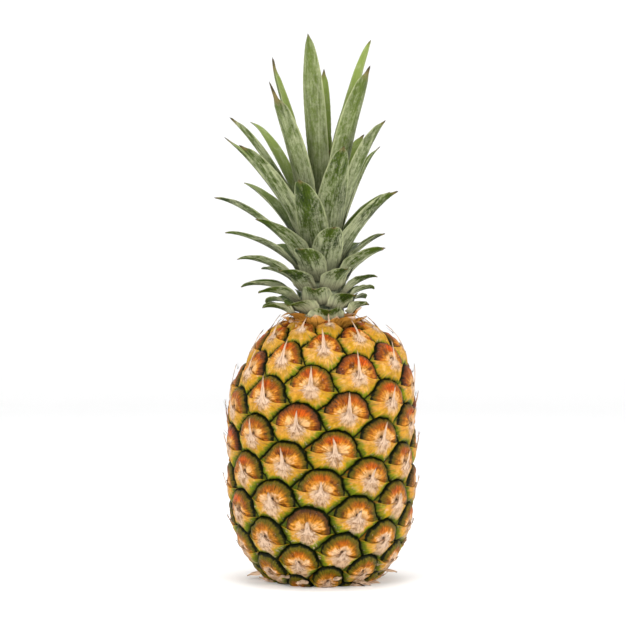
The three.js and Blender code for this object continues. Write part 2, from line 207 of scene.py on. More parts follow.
class PineappleCrownSettings(bpy.types.PropertyGroup):
    """The crown's stem and leaves."""

    stem_radius: length("Stem radius", "Of the crown's stem at its foot", 0.0155)
    stem_height: length("Stem height", "Of the crown's stem", 0.066)
    foot: length("Foot", "Height of the stem's foot", 0.167869)
    keel: length("Keel", "Thickness of a leaf along its middle at the root", 0.0014)
    edge: length("Edge", "Thickness of a leaf near its tip", 0.0007)
    channel: number("Channel", "Depth of a leaf's gutter, as a share of its half width", 0.42)
    green: colour("Green", "Leaf where the scurf is rubbed off", "40520a")
    deep: colour("Deep green", "Darker patches of the leaf", "182804")
    scurf: colour("Scurf", "Whitish coat of the leaf's outer face", "a3a882")
    young: colour("Young", "Inner face of the upper leaves", "7e8e44")
    # Painted shade of the inner face near the root; the crown's stem takes it for its darker patches as
    # well.
    shade: colour("Shade", "Inner face near the root", "213a28")
    margin: colour("Margin", "Pale edges", "a9ae82")
    heel: colour("Heel", "Pale root of the lower leaves", "bfb994")
    dry: colour("Dry", "Dried tips", "71633a")
    dry_dark: colour("Dry dark", "Ends of the dried tips", "322a18")


class PineappleStageSettings(bpy.types.PropertyGroup):
    """The camera, the lights and the floor."""

    camera_back: length("Camera distance", "From the axis to the camera", 1.35)
    camera_height: length("Camera height", "Of the camera over the floor", 0.195)
    lens: number("Lens", "Focal length in millimetres", 117.6)
    shift_x: number("Shift across", "Of the picture, as a share of its width", -0.0136)
    shift_y: number("Shift up", "Of the picture, as a share of its width", -0.0452)
    floor: colour("Floor", "The pale stage", "f8f8f8")
    glow: number("Glow", "Strength of the light that the floor gives off", 0.05)
    sky: number("Sky", "Strength of the light from all round", 0.75)
    key: number("Key", "Watts of each front light", 11.0)
    side: number("Side", "Watts of each side light", 6.0)
    top: number("Top", "Watts of the light overhead", 10.0)


# ---- Shader building ---------------------------------------------------------------------------------


class Term:
    """A shader socket that Python's arithmetic works on."""

    def __init__(self, finish, socket):
        self.finish = finish
        self.socket = socket

    def maths(self, operation, *values, clamp=False):
        """A Math node on some values or terms."""
        settings = {"operation": operation, "use_clamp": clamp}
        return self.finish.node("ShaderNodeMath", settings, dict(enumerate(values)))

    def __add__(self, other):
        return self.maths("ADD", self, other)

    def __sub__(self, other):
        return self.maths("SUBTRACT", self, other)

    def __mul__(self, other):
        return self.maths("MULTIPLY", self, other)

    def __truediv__(self, other):
        return self.maths("DIVIDE", self, other)

    def __pow__(self, other):
        return self.maths("POWER", self, other)

    def __rsub__(self, other):
        return self.maths("SUBTRACT", other, self)

    __radd__ = __add__
    __rmul__ = __mul__

    def size(self):
        return self.maths("ABSOLUTE", self)

    def angle(self, across):
        """The angle of a place, this term up and the other across."""
        return self.maths("ARCTAN2", self, across)

    def sway(self, share):
        """A pattern from 0 to 1 as a small change to either side, as much as a share."""
        return (self - 0.5) * share

    def most(self, other):
        return self.maths("MAXIMUM", self, other)

    def least(self, other):
        return self.maths("MINIMUM", self, other)

    def clamped(self):
        """The same, but never under 0 or over 1."""
        return self.maths("ADD", self, 0.0, clamp=True)

    def step(self, low, high):
        """0 below low, 1 above high and smooth between them; falling where low is the higher."""
        settings = {"interpolation_type": "SMOOTHSTEP"}
        if low <= high:
            ends = {"From Min": low, "From Max": high, "To Min": 0.0, "To Max": 1.0}
        else:
            ends = {"From Min": high, "From Max": low, "To Min": 1.0, "To Max": 0.0}
        return self.finish.node("ShaderNodeMapRange", settings, {"Value": self, **ends})


class Finish:
    """A material under construction."""

    def __init__(self, name):
        self.material = bpy.data.materials.new(name)
        self.material.use_nodes = True
        self.tree = self.material.node_tree
        self.tree.nodes.clear()

    def node(self, kind, settings=None, sockets=None, output=0):
        """Adds a node: its type, its settings, and the values or links of its sockets."""
        made = self.tree.nodes.new(kind)
        for name, value in (settings or {}).items():
            setattr(made, name, value)
        for key, value in (sockets or {}).items():
            socket = made.inputs[key]
            if isinstance(value, Term):
                self.tree.links.new(value.socket, socket)
            elif socket.type == "RGBA" and len(value) == 3:
                socket.default_value = (*value, 1.0)
            else:
                socket.default_value = value
        return Term(self, made.outputs[output]) if made.outputs else None

    def map(self, name):
        """The two numbers that a UV map holds."""
        place = self.node("ShaderNodeUVMap", {"uv_map": name})
        return [self.node("ShaderNodeSeparateXYZ", None, {0: place}, k) for k in (0, 1)]

    def vector(self, x, y, z):
        """Three numbers as one vector."""
        return self.node("ShaderNodeCombineXYZ", None, {0: x, 1: y, 2: z})

    def place(self):
        """The point in the object's own space."""
        return self.node("ShaderNodeTexCoord", None, None, "Object")

    def noise(self, vector, scale, detail, roughness, distortion=0.0):
        """A soft pattern from 0 to 1."""
        sockets = {
            "Vector": vector, "Scale": scale, "Detail": detail, "Roughness": roughness,
            "Distortion": distortion}
        return self.node("ShaderNodeTexNoise", {"noise_dimensions": "3D"}, sockets)

    def mix(self, first, second, factor):
        """The first colour where the factor is 0, and the second where it is 1."""
        settings = {"data_type": "RGBA", "clamp_factor": True}
        return self.node("ShaderNodeMix", settings, {0: factor, 6: first, 7: second}, 2)

    def shade(self, colour_term, factor):
        """A colour made darker or lighter by a number."""
        grey = self.vector(factor, factor, factor)
        return self.node("ShaderNodeVectorMath", {"operation": "MULTIPLY"}, {0: colour_term, 1: grey})

    def surface(self, colour_term, roughness, height, relief, gloss=0.5):
        """Ends the material: its colour, roughness, bump and gloss."""
        normal = self.node("ShaderNodeBump", None, {"Height": height, "Distance": relief, "Strength": 1.0})
        sockets = {
            "Base Color": colour_term, "Roughness": roughness, "Normal": normal,
            "Specular IOR Level": gloss}
        skin = self.node("ShaderNodeBsdfPrincipled", None, sockets)
        self.node("ShaderNodeOutputMaterial", None, {"Surface": skin})
        return self.material


# ---- Mesh building -----------------------------------------------------------------------------------


def sheet(bm, across, along, place, marks, material=0):
    """A grid of faces whose points place(u, v) gives, with the UV maps that marks(u, v) fills."""
    made = bmesh.ops.create_grid(bm, x_segments=across, y_segments=along, size=0.5)["verts"]
    spots = {vert: (vert.co.x + 0.5, vert.co.y + 0.5) for vert in made}
    values = {vert: marks(*spot) for vert, spot in spots.items()}
    maps = bm.loops.layers.uv
    layers = {name: maps.get(name) or maps.new(name) for name in marks(0.0, 0.0)}
    for face in {face for vert in made for face in vert.link_faces}:
        face.material_index = material
        for loop in face.loops:
            for name, value in values[loop.vert].items():
                loop[layers[name]].uv = value
    for vert, spot in spots.items():
        vert.co = place(*spot)


def round_blade(u):
    """Where a share of the way round a blade lies: its side from -1 to 1, and 1 inside or -1 outside."""
    return (1 - 4 * u, 1) if u <= 0.5 else (4 * u - 3, -1)


def closing(v, reach):
    """A factor that falls from 1 to 0 over a short reach at either end of a blade."""
    return min(1.0, v / reach, (1 - v) / reach)


def blade(bm, spans, rows, place, chances):
    """A thin closed dry blade. place(side, v, layer) has layer 0 at its edges and 1 or -1 on its faces."""

    def spot(u, v):
        side, face = round_blade(u)
        return place(side, v, face * max(0.0, 1 - side * side) ** 0.5 * closing(v, BLADE_END))

    def marks(u, v):
        return {"blade": (0.5 + 0.5 * round_blade(u)[0], v), "chance": chances}

    sheet(bm, 2 * spans, rows, spot, marks)


def weld(bm, reach=WELD):
    """Merges what lies together, which closes seams and poles."""
    bmesh.ops.remove_doubles(bm, verts=bm.verts, dist=reach)
    bmesh.ops.dissolve_degenerate(bm, edges=bm.edges, dist=0.1 * reach)


def keep_over_floor(bm):
    """Lifts what hangs under the base."""
    for vert in bm.verts:
        vert.co.z = max(vert.co.z, FLOOR_GAP)


def of_kind(geometry, kind):
    """The vertices, edges or faces among what an operator gives back."""
    return [item for item in geometry if isinstance(item, kind)]


def mesh_of(bm, name, materials):
    """Turns a finished bmesh into a smooth mesh with its materials."""
    mesh = bpy.data.meshes.new(name)
    bm.to_mesh(mesh)
    bm.free()
    for material in materials:
        mesh.materials.append(material)
    mesh.shade_smooth()
    return mesh


def add_object(context, name, data):
    """Puts a new object in the scene."""
    made = bpy.data.objects.new(name, data)
    context.scene.collection.objects.link(made)
    return made


def put(context, bm, name, materials, nodes, crease=80):
    """Makes a piece that stands for solids, with its edges sharp past a crease in degrees."""
    bmesh.ops.recalc_face_normals(bm, faces=bm.faces)
    mesh = mesh_of(bm, name, materials)
    mesh.set_sharp_from_angle(angle=math.radians(crease))
    piece = add_object(context, name, mesh)
    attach(piece, "root")
    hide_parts(*nodes)


# ---- The fruit's skin and eyes -----------------------------------------------------------------------


class Outline:
    """A line of points, each a distance from the axis and a height, read by the length along it."""

    def __init__(self, points):
        self.points = points
        parts = ((end - start).length for start, end in zip(points, points[1:]))
        self.lengths = list(itertools.accumulate(parts, initial=0.0))
        self.total = self.lengths[-1]

    def read(self, along):
        """The outline's point and direction some way along it."""
        along = min(max(along, 0.0), self.total)
        k = min(bisect.bisect_right(self.lengths, along), len(self.points) - 1) - 1
        start, end = self.points[k], self.points[k + 1]
        share = (along - self.lengths[k]) / (self.lengths[k + 1] - self.lengths[k])
        return start.lerp(end, share), (end - start).normalized()


class Skin(Outline):
    """The skin in the grooves: an outline that is turned about the axis."""

    spans = 720

    def __init__(self, sizes):
        self.sizes = sizes
        low, high = sizes.belly - sizes.below, sizes.belly + sizes.above
        shares = [(1 - math.cos(math.pi * k / self.spans)) / 2 for k in range(self.spans + 1)]
        heights = [lerp(low, high, share) for share in shares]
        super().__init__([Vector((self.radius_at(height), height)) for height in heights])

    def radius_at(self, height):
        """The skin's distance from the axis at a height."""
        sizes = self.sizes
        up = height > sizes.belly
        share = abs(height - sizes.belly) / (sizes.above if up else sizes.below)
        roundness = sizes.round_above if up else sizes.round_below
        return sizes.radius * max(0.0, 1 - share ** sizes.fall) ** (1 / roundness)

    def at(self, azimuth, along, over=0.0):
        """The point over a place on the skin. Near the neck nothing stands over it."""
        sizes = self.sizes
        spot, way = self.read(along)
        if spot.y > sizes.belly:
            over *= smoothstep(spot.x, sizes.neck - 1.5 * MM, sizes.neck + 3 * MM)
        slump = sizes.slump * smoothstep(spot.y, sizes.slump_from, sizes.slump_to)
        reach = spot.x + over * way.y
        inward = slump * max(0.0, reach - sizes.neck) * (1 - math.sin(azimuth)) / 2
        return polar(azimuth, reach - inward, spot.y - over * way.x)


def bend_through(points, steps):
    """Points on a smooth curve through others, some steps apart."""
    ends = [2 * points[0] - points[1], *points, 2 * points[-1] - points[-2]]
    line = []
    for a, b, c, d in zip(ends, ends[1:], ends[2:], ends[3:]):
        for k in range(steps):
            t = k / steps
            line.append(0.5 * (2 * b + (c - a) * t + (2 * a - 5 * b + 4 * c - d) * t * t
                               + (3 * b - a - 3 * c + d) * t ** 3))
    return line + [points[-1]]


UP_RIGHT, UP, UP_LEFT = 5, 13, 8  # how many eyes further on the three lie that touch an eye from above


class Eyes:
    """The eyes on the skin, in one spiral from the lowest to the highest."""

    border_parts = 8  # of the edge that two eyes share
    rings = 14  # of faces from an eye's middle to its groove
    waviness = 0.09  # of a brow's edge, as a share of its distance
    dome_reach = 1.03  # from an eye's middle to the dome's edge, in brow radii

    def __init__(self, sizes):
        self.sizes = sizes
        self.skin = Skin(sizes)
        for name in ("spot", "brow", "shape"):
            setattr(self, name, functools.cache(getattr(self, name)))

    def spot(self, index):
        """An eye's azimuth and its place along the skin."""
        sizes = self.sizes
        azimuth = math.radians(sizes.front_turn - index * sizes.turn)
        along = sizes.first + index * sizes.rise
        reach = self.skin.read(along)[0].x
        return azimuth, along - sizes.lean * reach * math.sin(azimuth)

    def height_share(self, index):
        """How high an eye stands, from 0 under the fruit to 1 at its top."""
        return self.spot(index)[1] / self.skin.total

    def seen(self, index, other):
        """Where one eye lies as seen from another, on the unrolled belly."""
        (azimuth, along), (there, there_along) = self.spot(index), self.spot(other)
        turn = math.remainder(there - azimuth, math.tau)
        return Vector((turn * self.sizes.radius, there_along - along))

    def corner(self, index, first, second):
        """The corner that an eye shares with two of the three over it."""
        sizes = self.sizes
        middle = (self.seen(index, index + first) + self.seen(index, index + second)) / 3
        brow = sizes.brow * spread(sizes.unlike, index, "brow")
        return middle.normalized() * lerp(middle.length, brow, sizes.pull)

    def brow(self, index):
        """An eye's upper edge from its right horn to its left one."""
        right = self.seen(index, index - UP_LEFT) + self.corner(index - UP_LEFT, UP_LEFT, UP)
        left = self.seen(index, index - UP_RIGHT) + self.corner(index - UP_RIGHT, UP_RIGHT, UP)
        corners = [right, self.corner(index, UP_RIGHT, UP), self.corner(index, UP_LEFT, UP), left]
        knots = [right]
        for start, end in zip(corners, corners[1:]):
            knots += [(start + end).normalized() * self.sizes.brow, end]
        line = bend_through(knots, self.border_parts // 2)
        for k, point in enumerate(line):
            part = (k % self.border_parts) / self.border_parts
            wave = noise.noise(Vector((k * 0.55, index * 3.7, 0.3)))
            wave += 0.5 * noise.noise(Vector((k * 1.7, index * 2.3, 5)))
            line[k] = point * (1 + self.waviness * wave * math.sin(math.pi * part) ** 0.5)
        return line

    def shape(self, index):
        """An eye's whole outline: its brow, and its lower edge from the left horn to the right one."""
        lower = []
        for border, step in enumerate((UP_RIGHT, UP, UP_LEFT)):
            shift = self.seen(index, index - step)
            start = border * self.border_parts
            part = self.brow(index - step)[start:start + self.border_parts + 1]
            lower += [point + shift for point in reversed(part)][:-1]
        return self.brow(index), lower + [self.brow(index)[0]]

    def point(self, index, seen, over):
        """The point over a place in an eye."""
        azimuth, along = self.spot(index)
        return self.skin.at(azimuth + seen.x / self.sizes.radius, along + seen.y, over)

    def in_brows(self, seen):
        """A place in an eye, in brow radii."""
        return seen.x / self.sizes.brow, seen.y / self.sizes.brow

    def dome(self, index, seen, share):
        """Height of the upper half over its groove: a round dome, with the bract's low horns beside it."""
        x, y = self.in_brows(seen)
        out = math.hypot(x, y)
        edge = (1 - min(1.0, max(share, out / self.dome_reach)) ** 10) ** 0.55
        ring = 0.12 * math.exp(-((out - 0.70) / 0.14) ** 2)
        pit = 0.36 * math.exp(-(x * x + (y - 0.16) ** 2) / 0.020)
        cheeks = 0.20 * math.exp(-((abs(x) - 0.38) ** 2 + (y - 0.15) ** 2) / 0.045)
        tuck = 0.40 * math.exp(-max(0.0, y + 0.06) / 0.05) * (1 - smoothstep(out, 0.75, 0.98))
        swell = 0.16 * noise.noise(Vector((2.2 * x, 2.2 * y, index * 1.7)))
        wrinkle = 0.05 * math.sin(11 * math.atan2(y, x) + 3 * chance(index, "eye_wrinkles"))
        wrinkle *= smoothstep(out, 0.2, 0.5)
        horn = 0.45 * (1 - share ** 3) * smoothstep(abs(x), 0.6, 0.8)
        horn *= smoothstep(out, self.dome_reach, 1.12)
        top = edge * (0.90 + ring - pit + cheeks - tuck + swell + wrinkle)
        return self.sizes.relief * max(top, horn)

    def bract(self, index, seen, share):
        """Height of the lower half over the groove."""
        x, y = self.in_brows(seen)
        slope = 1.16 * (1 - min(1.0, share) ** 2.6) ** 0.8
        fold = 0.10 * math.cos(17 * math.atan2(x, -y) + index) * share * (1 - share)
        swell = 0.10 * noise.noise(Vector((2.5 * x, 2.5 * y, 9 + index * 1.7)))
        return self.sizes.relief * (slope * (1 + swell) + fold)

    def sag(self, share):
        """How far the junction of the two halves lies below the line between the horns."""
        hang = 0.13 * math.sin(math.pi * min(1.0, share / 0.95)) ** 2
        return self.sizes.brow * (hang - 0.12 * (1 - share) ** 2)

    def middle_point(self, outline, column, share):
        """A place some share of the way out to one of an outline's points."""
        seen = outline[column] * share
        near = max(0.0, 1 - abs(seen.y) / self.sizes.brow) ** 2
        return Vector((seen.x, seen.y - self.sag(share) * near))


DOME_FACES, BRACT_FACES, BASE_FACES = range(3)  # the order of the rind's materials
LIP_RISE, LIP_REACH = 0.25 * MM, 0.5 * MM  # of a bract's lip over the dome behind it


def ring_share(row):
    """How far out from an eye's middle a ring of points lies: the rings are closer near the groove."""
    return 1 - row ** 1.45


def add_eye(bm, eyes, index):
    """One eye: its domed upper half, and the bract whose lip overlaps it from below."""
    upper, lower = eyes.shape(index)
    brow = eyes.sizes.brow
    level = eyes.height_share(index)
    chances = (fraction(index, "eye_tint"), fraction(index, "eye_stain"))
    spans = len(upper) - 1

    def marks(seen, share):
        """The UV maps: where a point lies in the eye, how far out and how high, and how far off the lip."""
        horn = (upper[0] if seen.x > 0 else upper[-1]).normalized()
        drop = abs(horn.x * seen.y - horn.y * seen.x + math.copysign(eyes.sag(share), seen.x)) / brow
        return {"seen": seen / brow, "way": (share, level), "chance": chances, "lip": (drop, 0.0)}

    def dome_spot(u, v):
        share = ring_share(v)
        return eyes.middle_point(upper, round(u * spans), share), share

    def place_dome(u, v):
        seen, share = dome_spot(u, v)
        return eyes.point(index, seen, eyes.dome(index, seen, share))

    def mark_dome(u, v):
        return marks(*dome_spot(u, v))

    def bract_spot(u, v):
        """A place on the bract: the first and the last column lie on the dome, the next ones on the lip."""
        share = ring_share(v)
        column = round(u * (spans + 2)) - 1
        inside = min(max(column, 0), spans)
        seen = eyes.middle_point(lower, inside, share)
        return seen, share, column != inside, inside in (0, spans)

    def place_bract(u, v):
        seen, share, on_dome, on_lip = bract_spot(u, v)
        if on_dome:
            return eyes.point(index, seen, eyes.dome(index, seen, share))
        over = eyes.bract(index, seen, share)
        if on_lip:
            over = max(over, eyes.dome(index, seen, share)) + LIP_RISE * (1 - share)
            seen = seen + Vector((0, LIP_REACH * (1 - share ** 3)))
        return eyes.point(index, seen, over)

    def mark_bract(u, v):
        return marks(*bract_spot(u, v)[:2])

    sheet(bm, spans, eyes.rings, place_dome, mark_dome, DOME_FACES)
    sheet(bm, spans + 2, eyes.rings, place_bract, mark_bract, BRACT_FACES)


def close_to_point(bm, edges, height):
    """Closes a ring of edges onto a point of the axis."""
    cap = bmesh.ops.extrude_edge_only(bm, edges=edges)["geom"]
    for face in of_kind(cap, BMFace):
        face.material_index = BASE_FACES
    bmesh.ops.pointmerge(bm, verts=of_kind(cap, BMVert), merge_co=(0, 0, height))


def face_order(face):
    """A number that grows round the axis, and from one millimetre of height to the next."""
    middle = face.calc_center_median()
    return round(middle.z / MM) * math.tau + math.atan2(middle.y, middle.x)


def close_ends(bm, sizes):
    """Cuts the base flat, sinks the hollow for the cut stalk in it, and closes the top."""
    geometry = bm.verts[:] + bm.edges[:] + bm.faces[:]
    bmesh.ops.bisect_plane(
        bm, geom=geometry, dist=0.001 * MM, plane_co=(0, 0, 0), plane_no=(0, 0, -1), clear_outer=True)
    weld(bm)
    rims = [edge for edge in bm.edges if edge.is_boundary]
    base = [edge for edge in rims if edge.verts[0].co.z < sizes.belly]
    top = [edge for edge in rims if edge.verts[0].co.z > sizes.belly]
    hollow = bmesh.ops.create_circle(bm, segments=48, radius=sizes.stalk)["verts"]
    mouth = list(dict.fromkeys(edge for vert in hollow for edge in vert.link_edges))
    flat = bmesh.ops.triangle_fill(bm, use_beauty=True, edges=base + mouth)["geom"]
    wall = bmesh.ops.extrude_edge_only(bm, edges=mouth)["geom"]
    bmesh.ops.translate(bm, verts=of_kind(wall, BMVert), vec=(0, 0, sizes.stalk_depth))
    for face in of_kind(flat + wall, BMFace):
        face.material_index = BASE_FACES
    close_to_point(bm, of_kind(wall, BMEdge), sizes.stalk_depth)
    close_to_point(bm, top, sizes.belly + sizes.above)


# ---- Finishes of the fruit ---------------------------------------------------------------------------


class EyeTerms:
    """What both halves of an eye are coloured by, read from the rind's UV maps.

    across and up: the place in the eye, in brow radii; down is the other way.
    share and out: from 0 in the middle to 1 in the groove, by the eye's own outline and as a round dome.
    level: from 0 under the fruit to 1 at its top. one and two: the eye's own chances.
    lip: the distance from the lip where its halves meet.
    streaks, threads: broad and fine rays from the middle. clouds, dabs, grain: patches, from large to small.
    """

    def __init__(self, finish):
        self.finish = finish
        self.across, self.up = finish.map("seen")
        self.share, self.level = finish.map("way")
        self.one, self.two = finish.map("chance")
        self.lip, _ = finish.map("lip")
        self.down = 0.0 - self.up
        self.out = self.share.most((self.across ** 2 + self.up ** 2) ** 0.5 / Eyes.dome_reach)
        angle = self.up.angle(self.across)
        rays = finish.vector(angle * 5.5, self.share * 1.6, self.one * 60)
        fine_rays = finish.vector(angle * 17, self.share * 1.5, self.two * 60)
        patches = finish.vector(self.across * 1.3, self.up * 1.3, self.one * 40)
        self.streaks = finish.noise(rays, 1.6, 4.0, 0.65)
        self.threads = finish.noise(fine_rays, 1.6, 4.0, 0.62)
        self.clouds = finish.noise(patches, 1.4, 3.0, 0.55)
        self.dabs = finish.noise(finish.place(), 330.0, 4.0, 0.6)
        self.grain = finish.noise(finish.place(), 1000.0, 3.0, 0.6)

    def painted_floor_light(self, more):
        """A factor that makes the rows under the belly lighter: painted light, standing for the light that
        the pale floor throws up.
        """
        return 1.0 + self.level.step(0.45, 0.0) * more

    def groove(self, share, ragged, slope, low, high):
        """The groove's dark line, its dark green deepened into painted shade, with a ragged edge, a little
        wider on the lower rows.
        """
        return (share + ragged + (0.6 - self.level) * slope).step(low, high)


def bract_tone(terms, colours):
    """The bract's colour: yellow, green towards the groove, with fine brown lines."""
    finish, streaks, threads = terms.finish, terms.streaks, terms.threads
    clouds, dabs, level, down = terms.clouds, terms.dabs, terms.level, terms.down
    tone = finish.mix(colours.bract_warm, colours.bract, (down + clouds.sway(1.2)).step(0.0, 0.4))
    pale = threads * 0.6 + clouds * 0.4 + dabs * 0.3
    tone = finish.mix(tone, colours.core, pale.step(0.62, 0.80) * 0.8)
    green = terms.share + streaks.sway(0.7) + clouds.sway(0.7) + (0.55 - level) * 0.45
    tone = finish.mix(tone, colours.bract_green, green.step(0.64, 0.92) * 0.95)
    moss = terms.share + dabs.sway(0.6) + streaks.sway(0.4) + (0.4 - level) * 0.3
    tone = finish.mix(tone, colours.moss, moss.step(0.66, 0.96) * 0.85)
    rust = clouds * 0.6 + streaks * 0.5 - down * 0.25
    tone = finish.mix(tone, colours.ring, rust.step(0.60, 0.74) * 0.55)
    tone = finish.mix(tone, colours.vein, threads.step(0.54, 0.64) * 0.45)
    # Painted light: the rows under the belly are made lighter, as if lit from the floor.
    return finish.shade(tone, (0.10 + dabs * 1.15 + streaks * 0.70) * terms.painted_floor_light(0.30))


def dome_tone(terms, colours):
    """The dome's colour: pale in its middle, orange round it, blotched, and olive at its edge."""
    finish, streaks, clouds, dabs = terms.finish, terms.streaks, terms.clouds, terms.dabs
    across, up, level, one, two = terms.across, terms.up, terms.level, terms.one, terms.two
    low = (across ** 2 * 0.8 + (up - 0.12) ** 2 * 2.2) ** 0.5
    fade = low + streaks.sway(0.45) + clouds.sway(0.8) + dabs.sway(0.6)
    ripe = finish.mix(colours.stale, colours.ring, (level + one.sway(0.3)).step(0.10, 0.6))
    core = finish.mix(colours.paper, colours.core, (level + two.sway(0.4)).step(0.0, 0.45))
    tone = finish.mix(core, colours.amber, fade.step(0.28, 0.50))
    tone = finish.mix(tone, ripe, fade.step(0.42, 0.72))
    spot = (across - two.sway(0.5)) ** 2 + (up - 0.60) ** 2 * 2.4 + dabs.sway(0.2)
    blush = spot.step(0.18, 0.0) * (0.2 + one * 0.8) * fade.step(0.3, 0.5) * level.step(0.0, 0.5)
    tone = finish.mix(tone, colours.blush, blush)
    blotch = clouds + across.size() * 0.12 + dabs.sway(0.3) - two * 0.10
    stained = (0.1 + two * 1.1).clamped()
    tone = finish.mix(tone, colours.bruise_and_lip_shade, blotch.step(0.52, 0.66) * 0.8 * stained)
    rim = terms.out + streaks.sway(0.34) + (0.5 - level) * 0.16
    edge = finish.mix(colours.rim, colours.bruise_and_lip_shade, (level * 0.6 + two).step(0.85, 1.25))
    tone = finish.mix(tone, edge, rim.step(0.64, 0.90) * 0.85)
    # Dark wrinkle lines: partly the eye's own brown lines, partly painted shade in its creases.
    wrinkle_lines_and_shade = terms.threads.step(0.42, 0.64) * 0.60 + streaks.step(0.52, 0.68) * 0.22
    # Painted light: the rows under the belly are made lighter, as if lit from the floor.
    tone = finish.shade(tone, (1.24 - wrinkle_lines_and_shade - dabs.sway(1.3)) * terms.painted_floor_light(0.25))
    # Pale specks, partly waxy flecks of the rind and partly painted glints.
    specks_and_glints = terms.grain.step(0.62, 0.74) * clouds.step(0.42, 0.6)
    return finish.mix(tone, colours.paper, specks_and_glints * 0.5)


def dome_finish(colours):
    """The upper half of an eye, with its dark pit, painted shade just over the bract's lip, the bract's
    horns on either side and the groove with its painted shade.
    """
    finish = Finish("eye_dome")
    terms = EyeTerms(finish)
    across, out, streaks, threads = terms.across, terms.out, terms.streaks, terms.threads
    tone = dome_tone(terms, colours)
    pit = (across ** 2 + (terms.up - 0.14) ** 2).step(0.014, 0.001)
    tone = finish.mix(tone, colours.dry_tip, pit * 0.8)
    # Painted shade: the crevice on the dome just over the bract's lip is darkened with the bruise colour.
    painted_lip_shadow = terms.lip.step(0.06, 0.01) * out.step(1.0, 0.9)
    tone = finish.mix(tone, colours.bruise_and_lip_shade, painted_lip_shadow * 0.85)
    horn = across.size().step(0.62, 0.80) * (out - terms.share).step(0.0, 0.02) * out.step(0.99, 1.03)
    tone = finish.mix(tone, bract_tone(terms, colours), horn)
    ragged = streaks.sway(0.18) + terms.dabs.sway(0.12)
    # The groove: its dark green, deepened into painted shade.
    dark = terms.groove(out, ragged, 0.05, 0.905, 0.975) * (1.0 - horn)
    tone = finish.mix(tone, colours.groove, dark.most(terms.share.step(0.955, 0.99)))
    roughness = 0.30 + threads * 0.25 + out.step(0.85, 1.0) * 0.2
    height = threads * 0.7 + terms.grain * 0.25 + streaks * 0.6 + terms.dabs * 0.4
    return finish.surface(tone, roughness, height, 0.6 * MM, 0.1)


def bract_finish(colours):
    """The lower half of an eye, papery in its middle, with painted light on its lip; its groove and paper
    folds are darkened partly with painted shade.
    """
    finish = Finish("eye_bract")
    terms = EyeTerms(finish)
    streaks, threads, dabs, level = terms.streaks, terms.threads, terms.dabs, terms.level
    tone = bract_tone(terms, colours)
    fan = terms.across.size() - 0.62 + terms.down.most(0.0) * 0.40 + streaks.sway(1.0)
    fan = fan + level.least(0.5) * 0.42
    fade = terms.down + threads.sway(0.9) + level.sway(0.6) + terms.clouds.sway(0.6)
    flakes = (streaks * 0.7 + dabs * 0.5 - level * 0.16).step(0.60, 0.68) * 0.7
    papery = (fan.step(0.12, -0.06) * fade.step(0.72, 0.40)).most(flakes)
    # The dark paper: partly brown streaks, partly painted shade in the folds.
    fold_streaks_and_shade = (threads + dabs.sway(0.7)).step(0.38, 0.54)
    tone = finish.mix(tone, finish.mix(colours.paper_dark, colours.paper, fold_streaks_and_shade), papery * 0.85)
    creases = threads.step(0.60, 0.66) * (0.3 + papery * 0.7)
    tone = finish.mix(tone, colours.vein, creases * 0.45)
    # Painted light: the bract's lip, lit from above, is painted toward the ripe yellow.
    lip = terms.lip.step(0.05, 0.0) * terms.out.step(0.2, 0.4)
    tone = finish.mix(tone, colours.bract, lip * 0.5)
    ragged = streaks.sway(0.12) + dabs.sway(0.10)
    # The groove: its dark green, deepened into painted shade.
    tone = finish.mix(tone, colours.groove, terms.groove(terms.share, ragged, 0.04, 0.89, 0.98))
    roughness = 0.42 + papery * 0.35 + threads * 0.12
    height = threads + terms.grain * 0.3 + streaks * 0.7 + dabs * 0.5
    return finish.surface(tone, roughness, height, 0.5 * MM, 0.06)


def mottled_finish(name, first, second, scale, low, high, roughness):
    """A dull surface in two colours, for what is hardly seen."""
    finish = Finish(name)
    patches = finish.noise(finish.place(), scale, 4.0, 0.6)
    tone = finish.mix(first, second, patches.step(low, high))
    return finish.surface(tone, roughness, patches, 0.3 * MM)


def paper_finish(name, pale, dark, tip, tip_from):
    """Dry papery bracts, streaked along their length, with ends of another colour."""
    finish = Finish(name)
    across, along = finish.map("blade")
    one, two = finish.map("chance")
    fibres = finish.noise(finish.vector(across * 14, along * 2.2, one * 50), 1.0, 4.0, 0.6)
    clouds = finish.noise(finish.vector(across * 2, along * 4, two * 50), 1.0, 3.0, 0.5)
    grain = finish.noise(finish.place(), 1100.0, 2.0, 0.5)
    tone = finish.mix(dark, pale, (fibres * 0.7 + clouds * 0.3).step(0.34, 0.54))
    tone = finish.mix(tone, tip, (along + clouds.sway(0.5)).step(tip_from, tip_from + 0.22))
    return finish.surface(tone, 0.7, fibres + grain * 0.4, 0.25 * MM, 0.15)


# ---- The dry tips, the fibres and the papery bracts --------------------------------------------------

FIRST_TIP, FIRST_FIBRES, BARE_TOP = 4, 14, 2  # the first eyes with them, and how many are bare at the top
TIP_LAYER, BRACT_LAYER = 0.16 * MM, 0.25 * MM  # half their thickness
TIP_OVER = 0.45 * MM  # between a tip's root and the bract under it
FIBRE_ENDS = (0.16 * MM, 0.03 * MM)  # radius at the foot and at the end


